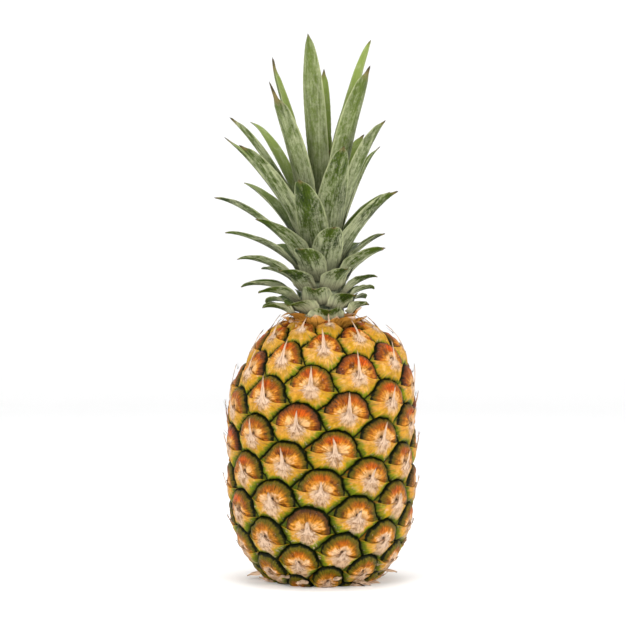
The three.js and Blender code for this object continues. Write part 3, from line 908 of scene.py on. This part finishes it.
def add_tip(bm, eyes, paper, index):
    """The dry tip of one eye's bract: a torn fan on the bract, and a curled spike over the eye."""
    level = eyes.height_share(index)
    crowded = smoothstep(level, 0.78, 0.93)
    long = lerp(paper.tip_low, paper.tip_high, smoothstep(level, 0.30, 0.62)) * (1 - 0.35 * crowded)
    long *= spread(0.22, index, "tip_length")
    fan = lerp(paper.fan_low, paper.fan_high, level) * spread(0.25, index, "fan_length")
    broad = lerp(paper.half_low, paper.half_high, level) * spread(0.2, index, "fan_width")
    blunt = 1 - smoothstep(varied(level, 0.10, index, "tip_blunt"), 0.36, 0.56)
    drift = varied(0, 1.8 * MM, index, "tip_drift")
    lift = lerp(paper.lift_low, paper.lift_high, smoothstep(level, 0.2, 0.8)) + 3.4 * MM * crowded
    lift *= spread(0.4, index, "tip_lift")
    shift = spread(0.12, index, "tip_shift")
    lip = eyes.bract(index, Vector((0, 0)), 0.0)

    def spot(side, v):
        """How far up and across a place of the tip lies, and half the width there."""
        up = -fan + (fan + long) * v
        if up < 0:
            deep = -up / fan
            half = broad * (0.45 + 0.55 * smoothstep(deep, 0.0, 0.55))
            torn = noise.noise(Vector((side * 4.2, index * 2.1, 0))) + 0.5 * side * side
            return up + 0.9 * fan * torn * deep, side * half * shift, half
        far = min(1.0, up / long)
        slender = 0.8 * (1 - far) ** 0.7 + 0.2 * (1 - far) ** 3
        stubby = (1 - far) ** lerp(0.9, 0.35, blunt)
        half = 0.45 * broad * lerp(slender, stubby, blunt)
        torn = noise.noise(Vector((side * 3.6, index * 2.7, 4)))
        across = side * half * shift + drift * (up / long) ** 2
        return up + 1.3 * MM * blunt * far * torn, across, half

    def place(side, v, layer):
        up, across, half = spot(side, v)
        seen = Vector((across, up))
        if up < 0:
            sunk = lerp(0.40, -0.45, (up / fan) ** 2) * MM
            over = eyes.bract(index, seen, seen.length / eyes.sizes.brow) + sunk
        else:
            far = min(1.0, up / long)
            over = lip + TIP_OVER + lift * far ** 1.4 + 0.4 * MM * math.sin(math.pi * far)
        ridge = 0.25 * half * (1 - abs(side)) * v
        crumple = 0.35 * MM * noise.noise(Vector((side * 5, v * 4, index)))
        over += ridge + crumple + TIP_LAYER * layer
        return eyes.point(index, seen + Vector((0, 0.3 * MM)), over)

    blade(bm, 6, 14, place, (fraction(index, "tip_tint"), fraction(index, "tip_stain")))


def bract_directions(azimuth, lean, twist=0.0):
    """Along, off and across a dry bract that leans out from upright and is twisted aside."""
    across = polar(azimuth + math.pi / 2, 1, 0)
    along = (polar(azimuth, math.sin(lean), math.cos(lean)) + across * twist).normalized()
    return along, along.cross(across).normalized(), across


def add_bract(bm, root, directions, sizes, seed):
    """A small dry bract with a wavy edge, whose end curls away from the side that it rises off."""
    along, off, side = directions
    long, half, curl = sizes

    def place(across, v, layer):
        width = half * (0.70 + 0.45 * math.sin(math.pi * min(1.0, v * 0.9 + 0.1))) * (1 - v ** 2.2) ** 0.7
        wavy = 1 + 0.25 * noise.noise(Vector((across * 2, v * 5, seed + 5)))
        crumple = 0.9 * MM * noise.noise(Vector((across * 1.6, v * 2.4, seed)))
        angle = 0.5 * curl * v ** 1.5
        rise = 0.5 * width * across * across + crumple - long * v * math.sin(angle)
        middle = root + along * (long * v * math.cos(angle))
        return middle + side * (across * width * wavy) + off * (rise + BRACT_LAYER * layer)

    blade(bm, 6, 12, place, (fraction(seed, "bract_tint"), fraction(seed, "bract_stain")))


# The rows of curled bracts round the crown's foot: how many, how far their roots lie down the skin, how far
# they lean out from upright in degrees, and their length and half their width. Sizes in millimetres.
COLLAR_ROWS = (
    (11, 21.6, 44, 10.0, 5.8),
    (9, 20.4, 22, 12.5, 7.2),
    (7, 18.6, 6, 13.5, 7.0),
)


def collar_mesh(eyes):
    """The curled dry bracts round the crown's foot."""
    bm = bmesh.new()
    skin = eyes.skin
    for row, (count, down, lean_out, long, half) in enumerate(COLLAR_ROWS):
        for k in range(count):
            seed = 100 * row + k
            turn = varied(k + 0.2 + 0.5 * row, 0.25, seed, "collar_turn")
            azimuth = math.radians(turn * 360 / count)
            lean = math.radians(varied(lean_out, 12, seed, "collar_lean"))
            root = skin.at(azimuth, skin.total - down * MM) - Vector((0, 0, 1 * MM))
            sizes = (
                long * spread(0.45, seed, "collar_length") * MM,
                half * spread(0.3, seed, "collar_width") * MM,
                varied(0.3, 1.7, seed, "collar_curl"))
            add_bract(bm, root, bract_directions(azimuth, lean), sizes, seed)
    weld(bm, FINE_WELD)
    return bm


def flap_mesh(eyes, paper):
    """Torn dry bracts that hang at the base."""
    bm = bmesh.new()
    for k in range(paper.flaps):
        azimuth = math.radians(varied(k * 360 / paper.flaps + 8, 9, k, "flap_turn"))
        root = eyes.skin.at(azimuth, varied(40, 5, k, "flap_root") * MM, 0.6 * MM)
        lean = math.radians(varied(104, 16, k, "flap_lean"))
        along, off, across = bract_directions(azimuth, lean, varied(0, 0.5, k, "flap_twist"))
        sizes = (
            varied(paper.flap, 3.5 * MM, k, "flap_length"),
            varied(paper.flap_half, 1.2 * MM, k, "flap_width"),
            varied(0, 0.5, k, "flap_curl"))
        add_bract(bm, root, (along, -off, across), sizes, 300 + k)
    weld(bm)
    keep_over_floor(bm)
    return bm


def fibre_mesh(eyes, paper):
    """Fine dry fibres at the ends of the tips, two to an eye."""
    bm = bmesh.new()
    places, chances = bm.loops.layers.uv.new("blade"), bm.loops.layers.uv.new("chance")
    relief = eyes.sizes.relief
    for index in range(FIRST_FIBRES, eyes.sizes.count - BARE_TOP):
        rise = lerp(2.5, 8.5, smoothstep(eyes.height_share(index), 0.3, 0.62))
        for seed in (10 * index, 10 * index + 1):
            long = varied(paper.fibre, 2.5 * MM, seed, "fibre_length")
            made = bmesh.ops.create_cone(
                bm, cap_ends=True, segments=3, radius1=FIBRE_ENDS[0], radius2=FIBRE_ENDS[1],
                depth=long)["verts"]
            start = Vector((varied(0, 1.6, seed, "fibre_side"), varied(rise, 1.2, seed, "fibre_rise"))) * MM
            ahead = Vector((varied(0, 1.8, seed, "fibre_slant"), 3)) * MM
            foot = eyes.point(index, start, relief + varied(1.6, 0.8, seed, "fibre_foot") * MM)
            end = eyes.point(index, start + ahead, relief + varied(3.2, 1.5, seed, "fibre_end") * MM)
            turn = Vector((0, 0, 1)).rotation_difference(end - foot).to_matrix().to_4x4()
            bmesh.ops.translate(bm, verts=made, vec=(0, 0, long / 2))
            bmesh.ops.transform(bm, matrix=Matrix.Translation(foot) @ turn, verts=made)
            for face in {face for vert in made for face in vert.link_faces}:
                for loop in face.loops:
                    loop[places].uv = (0.5, 0.75)
                    loop[chances].uv = (fraction(seed, "fibre_tint"), 0.5)
    return bm


# ---- The crown ---------------------------------------------------------------------------------------

# Leaves from the lowest to the innermost: azimuth of the blade, its tip's distance from the axis and height
# above the stem's foot and its full width in millimetres, then how far its tip hooks down, how much of it is
# dry, and how it rolls about its middle in degrees.
LEAVES = [
    (10, 30, 10, 22, 0.1, 0.03, 0),
    (178, 36, 13, 22, 0.2, 0.03, 0),
    (-78, 40, 12, 21, 0.5, 0.03, 0),
    (80, 32, 14, 21, 0.4, 0.1, 0),
    (-36, 38, 13, 24, 0.15, 0.04, 0),
    (-128, 48, 15, 21, 0.9, 0.02, 0),
    (40, 35, 20, 21, 0.25, 0.08, 0),
    (128, 38, 18, 21, 0.3, 0.03, 0),
    (-8, 38, 24, 21, 0.2, 0.05, 0),
    (-68, 45, 22, 19, 0.6, 0.03, 8),
    (-160, 40, 20, 21, 0.3, 0.05, 0),
    (98, 36, 25, 19, 1.1, 0.03, 0),
    (-92, 54, 26, 19, 0.6, 0.03, 0),
    (158, 42, 30, 20, 0.3, 0.05, 0),
    (72, 39, 33, 17, 0.9, 0.04, 0),
    (-38, 45, 36, 21, 0.1, 0.05, 0),
    (24, 40, 37, 20, 0.1, 0.01, 0),
    (-118, 46, 38, 18, 0.4, 0.03, 0),
    (-170, 44, 40, 18, 0.3, 0.05, 0),
    (-80, 57, 45, 18, 0.8, 0.03, 0),
    (112, 45, 51, 18, 0.3, 0.05, 0),
    (-17, 48, 50, 21, 0.15, 0.05, 0),
    (60, 48, 51, 18, 0.2, 0.05, 0),
    (-140, 50, 54, 20, 0.3, 0.05, 0),
    (145, 46, 56, 20, 0.3, 0.05, 0),
    (10, 47, 64, 22, 0.1, 0.05, 0),
    (-87, 64, 62, 18, 0.4, 0.03, 0),
    (88, 42, 61, 16, 0.3, 0.06, 0),
    (-45, 60, 69, 22, 0.1, 0.02, 0),
    (178, 50, 70, 20, 0.3, 0.05, 0),
    (55, 60, 88, 20, 0.3, 0.07, 0),
    (-90, 71, 86, 19, 0.5, 0.04, 0),
    (118, 52, 90, 20, 0.3, 0.05, 0),
    (-16, 52, 94, 22, 0.05, 0.05, 0),
    (-128, 67, 97, 18, 0.2, 0.02, 0),
    (20, 42, 116, 22, 0.1, 0.04, 0),
    (160, 50, 104, 20, 0.3, 0.05, 0),
    (-60, 61, 118, 21, 0.3, 0.06, 0),
    (106, 39, 121, 14, 0.7, 0.06, 0),
    (-104, 67, 126, 16, 0.1, 0.08, 0),
    (-165, 50, 116, 19, 0.3, 0.05, 0),
    (62, 46, 135, 19, 0.4, 0.04, 0),
    (-78, 61, 137, 19, 0.2, 0.06, 0),
    (135, 40, 129, 18, 0.3, 0.05, 0),
    (-128, 60, 141, 15, 0.8, 0.02, 0),
    (-45, 48, 158, 19, 0, 0.14, 0),
    (178, 30, 142, 17, 0.2, 0.05, 0),
    (48, 42, 169, 20, 0.1, 0.07, 0),
    (-108, 38, 178, 18, -0.6, 0.09, 0),
    (118, 37, 191, 19, 0.1, 0.02, 0),
    (-30, 18, 191, 20, 0, 0.015, 0),
    (172, 12, 171, 14, 0, 0.05, 0),
    (65, 6, 116, 9, 0, 0.05, 0),
    (-75, 3, 104, 8, 0, 0.05, 0),
]

STEM_POWER = 1.5  # roundness of the stem's dome
ROOTS = (4 * MM, 67 * MM)  # along the stem to the lowest and the innermost leaf
GAP = 0.3 * MM  # three of these lie between a leaf's root and the stem
UPRIGHT, BEND = 0.7, 0.52  # how far a leaf leans at its root against its end, and where it bends
TAPER, FULLNESS = (2.2, 4.0), 0.7  # how late the lowest and the innermost leaf taper, and how bluntly
FOOT, FOOT_END = (1.0, 0.55), 0.35  # their width at the root against the full one, and where that starts
CLASP = math.radians(75)  # how far round the stem a root reaches at most, to either side
ROOT_OUT = 3.0 * MM  # how much further out the lowest leaves start than their solids
HOOK_FROM, HOOK_LONG = 0.7, 0.3  # the share of a leaf where its hook starts, and its length


def stem_outline(sizes, spans=400):
    """The outline of the crown's stem, from its foot to its top."""
    angles = [math.pi * k / (2 * spans) for k in range(spans + 1)]
    power = 2 / STEM_POWER
    return Outline([
        Vector((sizes.stem_radius * max(0.0, math.cos(angle)) ** power,
                sizes.stem_height * math.sin(angle) ** power))
        for angle in angles])


class Leaf:
    """One leaf: its middle line in an upright plane, and its section along that line."""

    around = 20
    rows = 52

    def __init__(self, sizes, stem, index):
        self.sizes = sizes
        self.index = index
        turn, reach, height, width, self.hook, self.dry, roll = LEAVES[index]
        self.azimuth = math.radians(turn)
        self.roll = math.radians(roll)
        self.width = width * MM
        self.level = index / (len(LEAVES) - 1)
        foot, _ = stem.read(lerp(*ROOTS, self.level))
        self.start = Vector((foot.x + sizes.keel / 2 + 3 * GAP, foot.y))
        self.end = Vector((reach * MM, height * MM))
        way = self.end - self.start
        lean = UPRIGHT * math.atan2(way.x, way.y)
        self.bend = self.start + Vector((math.sin(lean), math.cos(lean))) * way.length * BEND
        self.side = polar(self.azimuth + math.pi / 2, 1, 0)

    def line(self, share):
        """The middle line's point and direction in its plane, with its tip hooked over."""
        a, b, c = self.start, self.bend, self.end
        point = a * (1 - share) ** 2 + b * 2 * share * (1 - share) + c * share ** 2
        way = ((b - a) * (1 - share) + (c - b) * share).normalized()
        far = max(0.0, (share - HOOK_FROM) / HOOK_LONG)
        turn = self.hook * far ** 2
        out = Vector((way.y, -way.x))
        long = (c - a).length
        low = 1 - smoothstep(self.level, 0.0, 0.25)
        point = point + Vector((ROOT_OUT, 0)) * low * (1 - share) ** 2
        point = point + (out * 0.45 - way * 0.2 * self.hook) * (0.3 * long * self.hook * far ** 3 * 0.35)
        way = (way * math.cos(turn) + out * math.sin(turn)).normalized()
        return point, way

    def half_width(self, share, reach):
        """Half the blade's width, and how far its edges wrap round the stem. A dried end shrivels."""
        low = 1 - smoothstep(self.level, 0.0, 0.22)
        reach += 5 * MM * low * (1 - share) ** 3
        broad = lerp(lerp(*FOOT, self.level) * (1 + 0.45 * low), 1, min(1.0, share / FOOT_END))
        taper = (1 - share ** lerp(*TAPER, self.level)) ** FULLNESS
        shrunk = 1 - 0.5 * smoothstep(share, 0.96 - self.dry, 1.03 - self.dry)
        full = self.width / 2 * broad * taper * shrunk
        turn = min(full / reach, CLASP)
        return reach * math.sin(turn), reach * (1 - math.cos(turn))

    def point(self, u, v):
        """A point of the closed blade: the inner face for u up to a half, then the outer one."""
        sizes = self.sizes
        side, inner = round_blade(u)
        at, way = self.line(v)
        half, wrap = self.half_width(v, at.x)
        opened = min(1.0, v / FOOT_END)
        depth = max(wrap * max(0.0, way.y), half * sizes.channel * opened)
        ends = closing(v, LEAF_END)
        thick = lerp(sizes.keel, sizes.edge, v) * (1 - side * side) ** 0.5 * ends
        wave = noise.noise(Vector((v * 3.1, self.index * 1.9, side * 0.4)))
        ripple = noise.noise(Vector((v * 9, self.index * 2.9, side * 1.5)))
        waves = (1.1 * wave * side * side + 0.35 * ripple * side) * MM * opened * ends
        rise = depth * abs(side) ** 1.5 + waves
        tooth = 0.0
        if abs(side) > 0.999 and v > 0.12:
            tooth = 0.28 * MM * (round(v * self.rows) % 2) * (1 - v)
        across = side * (half + tooth)
        roll = varied(self.roll, 0.10, self.index, "leaf_roll") * v
        inward = polar(self.azimuth, -way.y, way.x)
        offset = self.side * across + inward * rise
        axis = polar(self.azimuth, way.x, way.y)
        offset.rotate(Matrix.Rotation(roll, 3, axis))
        middle = polar(self.azimuth, at.x, sizes.foot + at.y)
        return middle + offset + inward * (inner * thick / 2)

    def marks(self, u, v):
        """The UV maps: the place in shares and in metres, and what is the leaf's own."""
        side, _ = round_blade(u)
        at, _ = self.line(v)
        half, _ = self.half_width(v, at.x)
        long = (self.end - self.start).length
        return {
            "blade": (0.5 + 0.5 * side, v),
            "size": (side * half, v * long),
            "kind": (fraction(self.index, "leaf_tint"), self.dry),
            "level": (self.level, 0.0),
        }

    def mesh(self):
        """The closed blade: its outer faces with the first material, its inner ones with the second."""
        bm = bmesh.new()
        sheet(bm, self.around, self.rows, lambda u, v: Vector((u, v, 0)), self.marks)
        for face in bm.faces:
            face.material_index = 0 if face.calc_center_median().x > 0.5 else 1
        for vert in bm.verts:
            vert.co = self.point(vert.co.x, vert.co.y)
        weld(bm)
        return bm


class LeafTerms:
    """What a leaf is coloured by, read from its UV maps.

    along: from 0 at the root to 1 at the tip. middle: from 0 along the middle to 1 at the edges.
    seed: the leaf's own chance. dry: how much of its tip is dry. level: 0 lowest, 1 innermost.
    veins, streaks: fine and broad lines along the leaf. patches, mottle, clouds: its blotches.
    """

    def __init__(self, finish):
        self.finish = finish
        across, self.along = finish.map("blade")
        wide, long = finish.map("size")
        self.seed, self.dry = finish.map("kind")
        self.level, _ = finish.map("level")
        self.middle = (across - 0.5).size() * 2

        def pattern(x, y, offset, detail, roughness=0.6, distortion=0.0):
            """A noise with x and y waves to the metre across and along the leaf."""
            place = finish.vector(wide * x, long * y, self.seed * 70 + offset)
            return finish.noise(place, 1.0, detail, roughness, distortion)

        self.veins = pattern(2100, 30, 0.0, 3.0)
        self.streaks = pattern(700, 60, 5.0, 4.0, 0.65)
        self.patches = pattern(230, 95, 9.0, 6.0, 0.66, 0.5)
        self.mottle = pattern(760, 420, 13.0, 5.0, 0.7)
        self.clouds = pattern(70, 30, 17.0, 3.0)

    def edged(self, tone, colours):
        """A face's colour with its pale edges."""
        return self.finish.mix(tone, colours.margin, self.middle.step(0.86, 0.99) * 0.7)

    def dried(self, tone, colours):
        """A face's colour with its dried tip."""
        reach = self.along + self.dry + self.clouds.sway(0.10) + self.streaks.sway(0.07)
        tone = self.finish.mix(tone, colours.dry, reach.step(0.965, 1.03) * 0.9)
        end = self.along + self.dry * 0.5 + self.streaks.sway(0.05)
        return self.finish.mix(tone, colours.dry_dark, end.step(0.975, 1.02) * 0.85)


def leaf_outer_finish(colours):
    """The outer face of a leaf: green under a whitish scurf, which is rubbed off in places, with painted
    shade towards its root.
    """
    finish = Finish("leaf_outer")
    terms = LeafTerms(finish)
    along, level, streaks = terms.along, terms.level, terms.streaks
    dark = (terms.clouds + terms.mottle.sway(0.7)).step(0.42, 0.68)
    green = finish.mix(colours.green, colours.deep, dark)
    green = finish.mix(green, colours.young, level.step(0.75, 1.0) * 0.4)
    coat = terms.patches * 0.55 + terms.mottle * 0.45 + streaks * 0.35
    coat = coat + (0.5 - along) * (0.36 - level * 0.20) - 0.01
    coat = coat + terms.seed.sway(0.10) + terms.middle * 0.06
    coat = (coat - 0.68) * (1.32 - level * 0.90) + 0.685
    tone = finish.mix(green, colours.scurf, coat.step(0.59, 0.80) * 0.92)
    tone = terms.edged(tone, colours)
    heel = (along + streaks.sway(0.35)).step(0.42, 0.10) * level.step(0.60, 0.20)
    tone = finish.mix(tone, colours.heel, heel * 0.7)
    lines = terms.veins.step(0.30, 0.70) * 0.34 + streaks.step(0.30, 0.66) * 0.46 - 0.42
    light = 0.86 + lines * (1.05 - level * 0.55)
    # Painted shade: darker towards the root, where the leaves shade one another.
    tone = finish.shade(tone, light * (0.60 + along.step(0.0, 0.35) * 0.42))
    height = terms.veins + terms.mottle * 0.5 + streaks * 0.4
    return finish.surface(terms.dried(tone, colours), 0.5 + coat * 0.25, height, 0.3 * MM, 0.15)


def leaf_inner_finish(colours):
    """The inner face of a leaf: smooth green, with painted shade near the root."""
    finish = Finish("leaf_inner")
    terms = LeafTerms(finish)
    # Painted shade: the shade colour near the root stands for the shade between the leaves.
    tone = finish.mix(colours.shade, colours.green, (terms.along + terms.clouds.sway(0.5)).step(0.0, 0.45))
    tone = finish.mix(tone, colours.young, (terms.level * 0.7 + terms.along * 0.35).step(0.55, 0.95))
    coat = (terms.patches + terms.mottle.sway(0.5)).step(0.45, 0.75)
    tone = finish.mix(tone, colours.scurf, coat * 0.5)
    tone = terms.edged(tone, colours)
    tone = finish.shade(tone, 0.64 + terms.veins * 0.42 + terms.streaks * 0.32)
    roughness = 0.42 + terms.mottle * 0.2
    return finish.surface(terms.dried(tone, colours), roughness, terms.veins, 0.25 * MM, 0.2)


def stalk_finish(colours):
    """The cut stalk: pale wood with darker fibre ends."""
    finish = Finish("cut_stalk")
    fibres = finish.noise(finish.place(), 900.0, 4.0, 0.65)
    rings = finish.noise(finish.place(), 160.0, 3.0, 0.5)
    tone = finish.mix(colours.paper, colours.vein, (fibres * 0.7 + rings * 0.3).step(0.45, 0.62))
    return finish.surface(tone, 0.85, fibres, 0.4 * MM)


# ---- The stage ---------------------------------------------------------------------------------------


# The lights: their place, their breadth, and the setting that holds their watts.
LIGHTS = {
    "key_left": ((-0.9, -1.5, 0.95), 0.7, "key"),
    "key_right": ((1.1, -1.4, 0.8), 0.7, "key"),
    "side_left": ((-1.5, -0.25, 0.4), 0.8, "side"),
    "side_right": ((1.5, -0.25, 0.4), 0.8, "side"),
    "top_light": ((0.0, -0.1, 1.5), 1.0, "top"),
}
LIT_PLACE = Vector((0, 0, 0.17))  # what they point at


def add_light(context, name, place, breadth, watts):
    """A soft round light."""
    data = bpy.data.lights.new(name, "AREA")
    data.shape = "DISK"
    data.size = breadth
    data.energy = watts
    light = add_object(context, name, data)
    light.location = place
    light.rotation_euler = (LIT_PLACE - Vector(place)).to_track_quat("-Z", "Y").to_euler()


def add_camera(context, sizes):
    """A level camera in front of the fruit."""
    data = bpy.data.cameras.new("camera")
    data.lens = sizes.lens
    data.shift_x = sizes.shift_x
    data.shift_y = sizes.shift_y
    data.clip_start = 0.01
    camera = add_object(context, "camera", data)
    camera.location = (0, -sizes.camera_back, sizes.camera_height)
    camera.rotation_euler = (math.radians(90), 0, 0)
    context.scene.camera = camera


def add_sky(context, sizes):
    """Even white light from all round."""
    world = bpy.data.worlds.new("soft_sky")
    world.use_nodes = True
    sky = world.node_tree.nodes["Background"].inputs
    sky["Color"].default_value = (1, 1, 1, 1)
    sky["Strength"].default_value = sizes.sky
    context.scene.world = world


def floor_finish(sizes):
    """The pale floor, which gives off a little light of its own."""
    finish = Finish("pale_floor")
    lit = finish.node("ShaderNodeBsdfDiffuse", None, {"Color": sizes.floor})
    glow = finish.node("ShaderNodeEmission", None, {"Color": sizes.floor, "Strength": sizes.glow})
    both = finish.node("ShaderNodeAddShader", None, {0: lit, 1: glow})
    finish.node("ShaderNodeOutputMaterial", None, {"Surface": both})
    return finish.material


def floor_mesh(flat=1.9, rise=0.9, wall=1.6, sides=96, bends=16):
    """A round floor whose far edge bends up into a wall."""
    bm = bmesh.new()
    edge = [Vector((0, 0, 0)), Vector((flat, 0, 0))]
    for k in range(1, bends + 1):
        angle = math.pi / 2 * k / bends
        edge.append(Vector((flat + rise * math.sin(angle), 0, rise * (1 - math.cos(angle)))))
    edge.append(Vector((flat + rise, 0, wall)))
    verts = [bm.verts.new(point) for point in edge]
    lines = [bm.edges.new(pair) for pair in zip(verts, verts[1:])]
    bmesh.ops.spin(
        bm, geom=verts + lines, cent=(0, 0, 0), axis=(0, 0, 1), angle=math.tau, steps=sides, use_merge=True)
    bmesh.ops.remove_doubles(bm, verts=bm.verts, dist=0.1 * MM)
    bmesh.ops.recalc_face_normals(bm, faces=bm.faces)
    return bm


# ---- Operators ---------------------------------------------------------------------------------------


class PINEAPPLE_OT_rind(bpy.types.Operator):
    """Make the rind: every eye's domed upper half and overlapping bract, closed at both ends"""

    bl_idname = "pineapple.rind"
    bl_label = "Rind"

    def execute(self, context):
        sizes, colours = context.scene.pineapple_skin, context.scene.pineapple_rind
        eyes = Eyes(sizes)
        bm = bmesh.new()
        for index in range(sizes.lowest, sizes.count):
            add_eye(bm, eyes, index)
        weld(bm)
        close_ends(bm, sizes)
        weld(bm)
        bm.faces.sort(key=face_order)  # extruding leaves its faces in no fixed order
        base = mottled_finish("flat_base", colours.vein, colours.rim, 420.0, 0.35, 0.65, 0.8)
        finishes = [dome_finish(colours), bract_finish(colours), base]
        put(context, bm, "rind", finishes, ["fruit"], crease=70)
        return {"FINISHED"}


class PINEAPPLE_OT_tips(bpy.types.Operator):
    """Make the dry tips of the bracts and the fine fibres at their ends"""

    bl_idname = "pineapple.tips"
    bl_label = "Dry tips"

    def execute(self, context):
        eyes = Eyes(context.scene.pineapple_skin)
        colours, paper = context.scene.pineapple_rind, context.scene.pineapple_paper
        bm = bmesh.new()
        for index in range(FIRST_TIP, eyes.sizes.count - BARE_TOP):
            add_tip(bm, eyes, paper, index)
        weld(bm, FINE_WELD)
        keep_over_floor(bm)
        # The dark paper's streaks are partly painted shade in the folds of the tips.
        pale = paper_finish("dry_paper", colours.paper, colours.paper_dark, colours.dry_tip, 0.86)
        put(context, bm, "bract_tips", [pale], ["fruit"])
        dark = paper_finish("dry_fibre", colours.vein, colours.dry_tip, colours.dry_tip, 0.5)
        put(context, fibre_mesh(eyes, paper), "fibres", [dark], ["fruit"], crease=55)
        return {"FINISHED"}


class PINEAPPLE_OT_collar(bpy.types.Operator):
    """Make the curled bracts round the crown's foot and the torn ones at the base"""

    bl_idname = "pineapple.collar"
    bl_label = "Collar and base bracts"

    def execute(self, context):
        eyes = Eyes(context.scene.pineapple_skin)
        colours, paper = context.scene.pineapple_rind, context.scene.pineapple_paper
        warm = paper_finish("collar_bract", colours.bract_warm, colours.stale, colours.paper, 0.7)
        put(context, collar_mesh(eyes), "collar_bracts", [warm], ["fruit"])
        # The dark paper's streaks are partly painted shade in the folds of the torn bracts.
        torn = paper_finish("torn_bract", colours.paper, colours.paper_dark, colours.vein, 0.9)
        put(context, flap_mesh(eyes, paper), "base_bracts", [torn], ["fruit"])
        return {"FINISHED"}


class PINEAPPLE_OT_leaves(bpy.types.Operator):
    """Make the crown's leaves, each in the place of its solid"""

    bl_idname = "pineapple.leaves"
    bl_label = "Leaves"

    def execute(self, context):
        sizes = context.scene.pineapple_crown
        stem = stem_outline(sizes)
        finishes = [leaf_outer_finish(sizes), leaf_inner_finish(sizes)]
        for index in range(len(LEAVES)):
            bm = Leaf(sizes, stem, index).mesh()
            name = f"leaf_{index + 1:02d}"
            put(context, bm, f"blade_{index + 1:02d}", finishes, [name])
        return {"FINISHED"}


class PINEAPPLE_OT_stem_and_stalk(bpy.types.Operator):
    """Finish the crown's stem and the cut stalk"""

    bl_idname = "pineapple.stem_and_stalk"
    bl_label = "Stem and stalk"

    def execute(self, context):
        crown, rind = context.scene.pineapple_crown, context.scene.pineapple_rind
        finishes = {
            "crown_stem": mottled_finish("crown_stem", crown.scurf, crown.shade, 260.0, 0.35, 0.7, 0.7),
            "cut_stalk": stalk_finish(rind),
        }
        for name, finish in finishes.items():
            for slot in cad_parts[name].material_slots:
                slot.material = finish
        return {"FINISHED"}


class PINEAPPLE_OT_stage(bpy.types.Operator):
    """Make the pale floor, the soft lights and the camera"""

    bl_idname = "pineapple.stage"
    bl_label = "Stage"

    def execute(self, context):
        sizes = context.scene.pineapple_stage
        add_camera(context, sizes)
        context.scene.view_settings.view_transform = "Standard"
        add_sky(context, sizes)
        for name, (place, breadth, setting) in LIGHTS.items():
            add_light(context, name, place, breadth, getattr(sizes, setting))
        floor = add_object(context, "floor", mesh_of(floor_mesh(), "floor", [floor_finish(sizes)]))
        return {"FINISHED"}


class PINEAPPLE_PT_panel(bpy.types.Panel):
    """Lists the pineapple's pieces, and the sizes and colours that they are made with."""

    bl_idname = "PINEAPPLE_PT_panel"
    bl_label = "Pineapple"
    bl_space_type = "VIEW_3D"
    bl_region_type = "UI"
    bl_category = "Pineapple"

    def draw(self, context):
        for operator in OPERATORS:
            self.layout.operator(operator.bl_idname)
        for name, settings in SETTINGS.items():
            box = self.layout.box()
            box.label(text=settings.__doc__)
            for setting in settings.__annotations__:
                box.prop(getattr(context.scene, name), setting)


SETTINGS = {
    "pineapple_skin": PineappleSkinSettings,
    "pineapple_rind": PineappleRindSettings,
    "pineapple_paper": PineapplePaperSettings,
    "pineapple_crown": PineappleCrownSettings,
    "pineapple_stage": PineappleStageSettings,
}
OPERATORS = (
    PINEAPPLE_OT_rind, PINEAPPLE_OT_tips, PINEAPPLE_OT_collar, PINEAPPLE_OT_leaves,
    PINEAPPLE_OT_stem_and_stalk, PINEAPPLE_OT_stage)
CLASSES = (*SETTINGS.values(), *OPERATORS, PINEAPPLE_PT_panel)


def register():
    for item in CLASSES:
        bpy.utils.register_class(item)
    for name, settings in SETTINGS.items():
        setattr(bpy.types.Scene, name, PointerProperty(type=settings))


def unregister():
    for name in SETTINGS:
        delattr(bpy.types.Scene, name)
    for item in reversed(CLASSES):
        bpy.utils.unregister_class(item)


def main():
    register()
    bpy.ops.pineapple.rind()
    bpy.ops.pineapple.tips()
    bpy.ops.pineapple.collar()
    bpy.ops.pineapple.leaves()
    bpy.ops.pineapple.stem_and_stalk()
    bpy.ops.pineapple.stage()


if __name__ == "__main__":
    main()
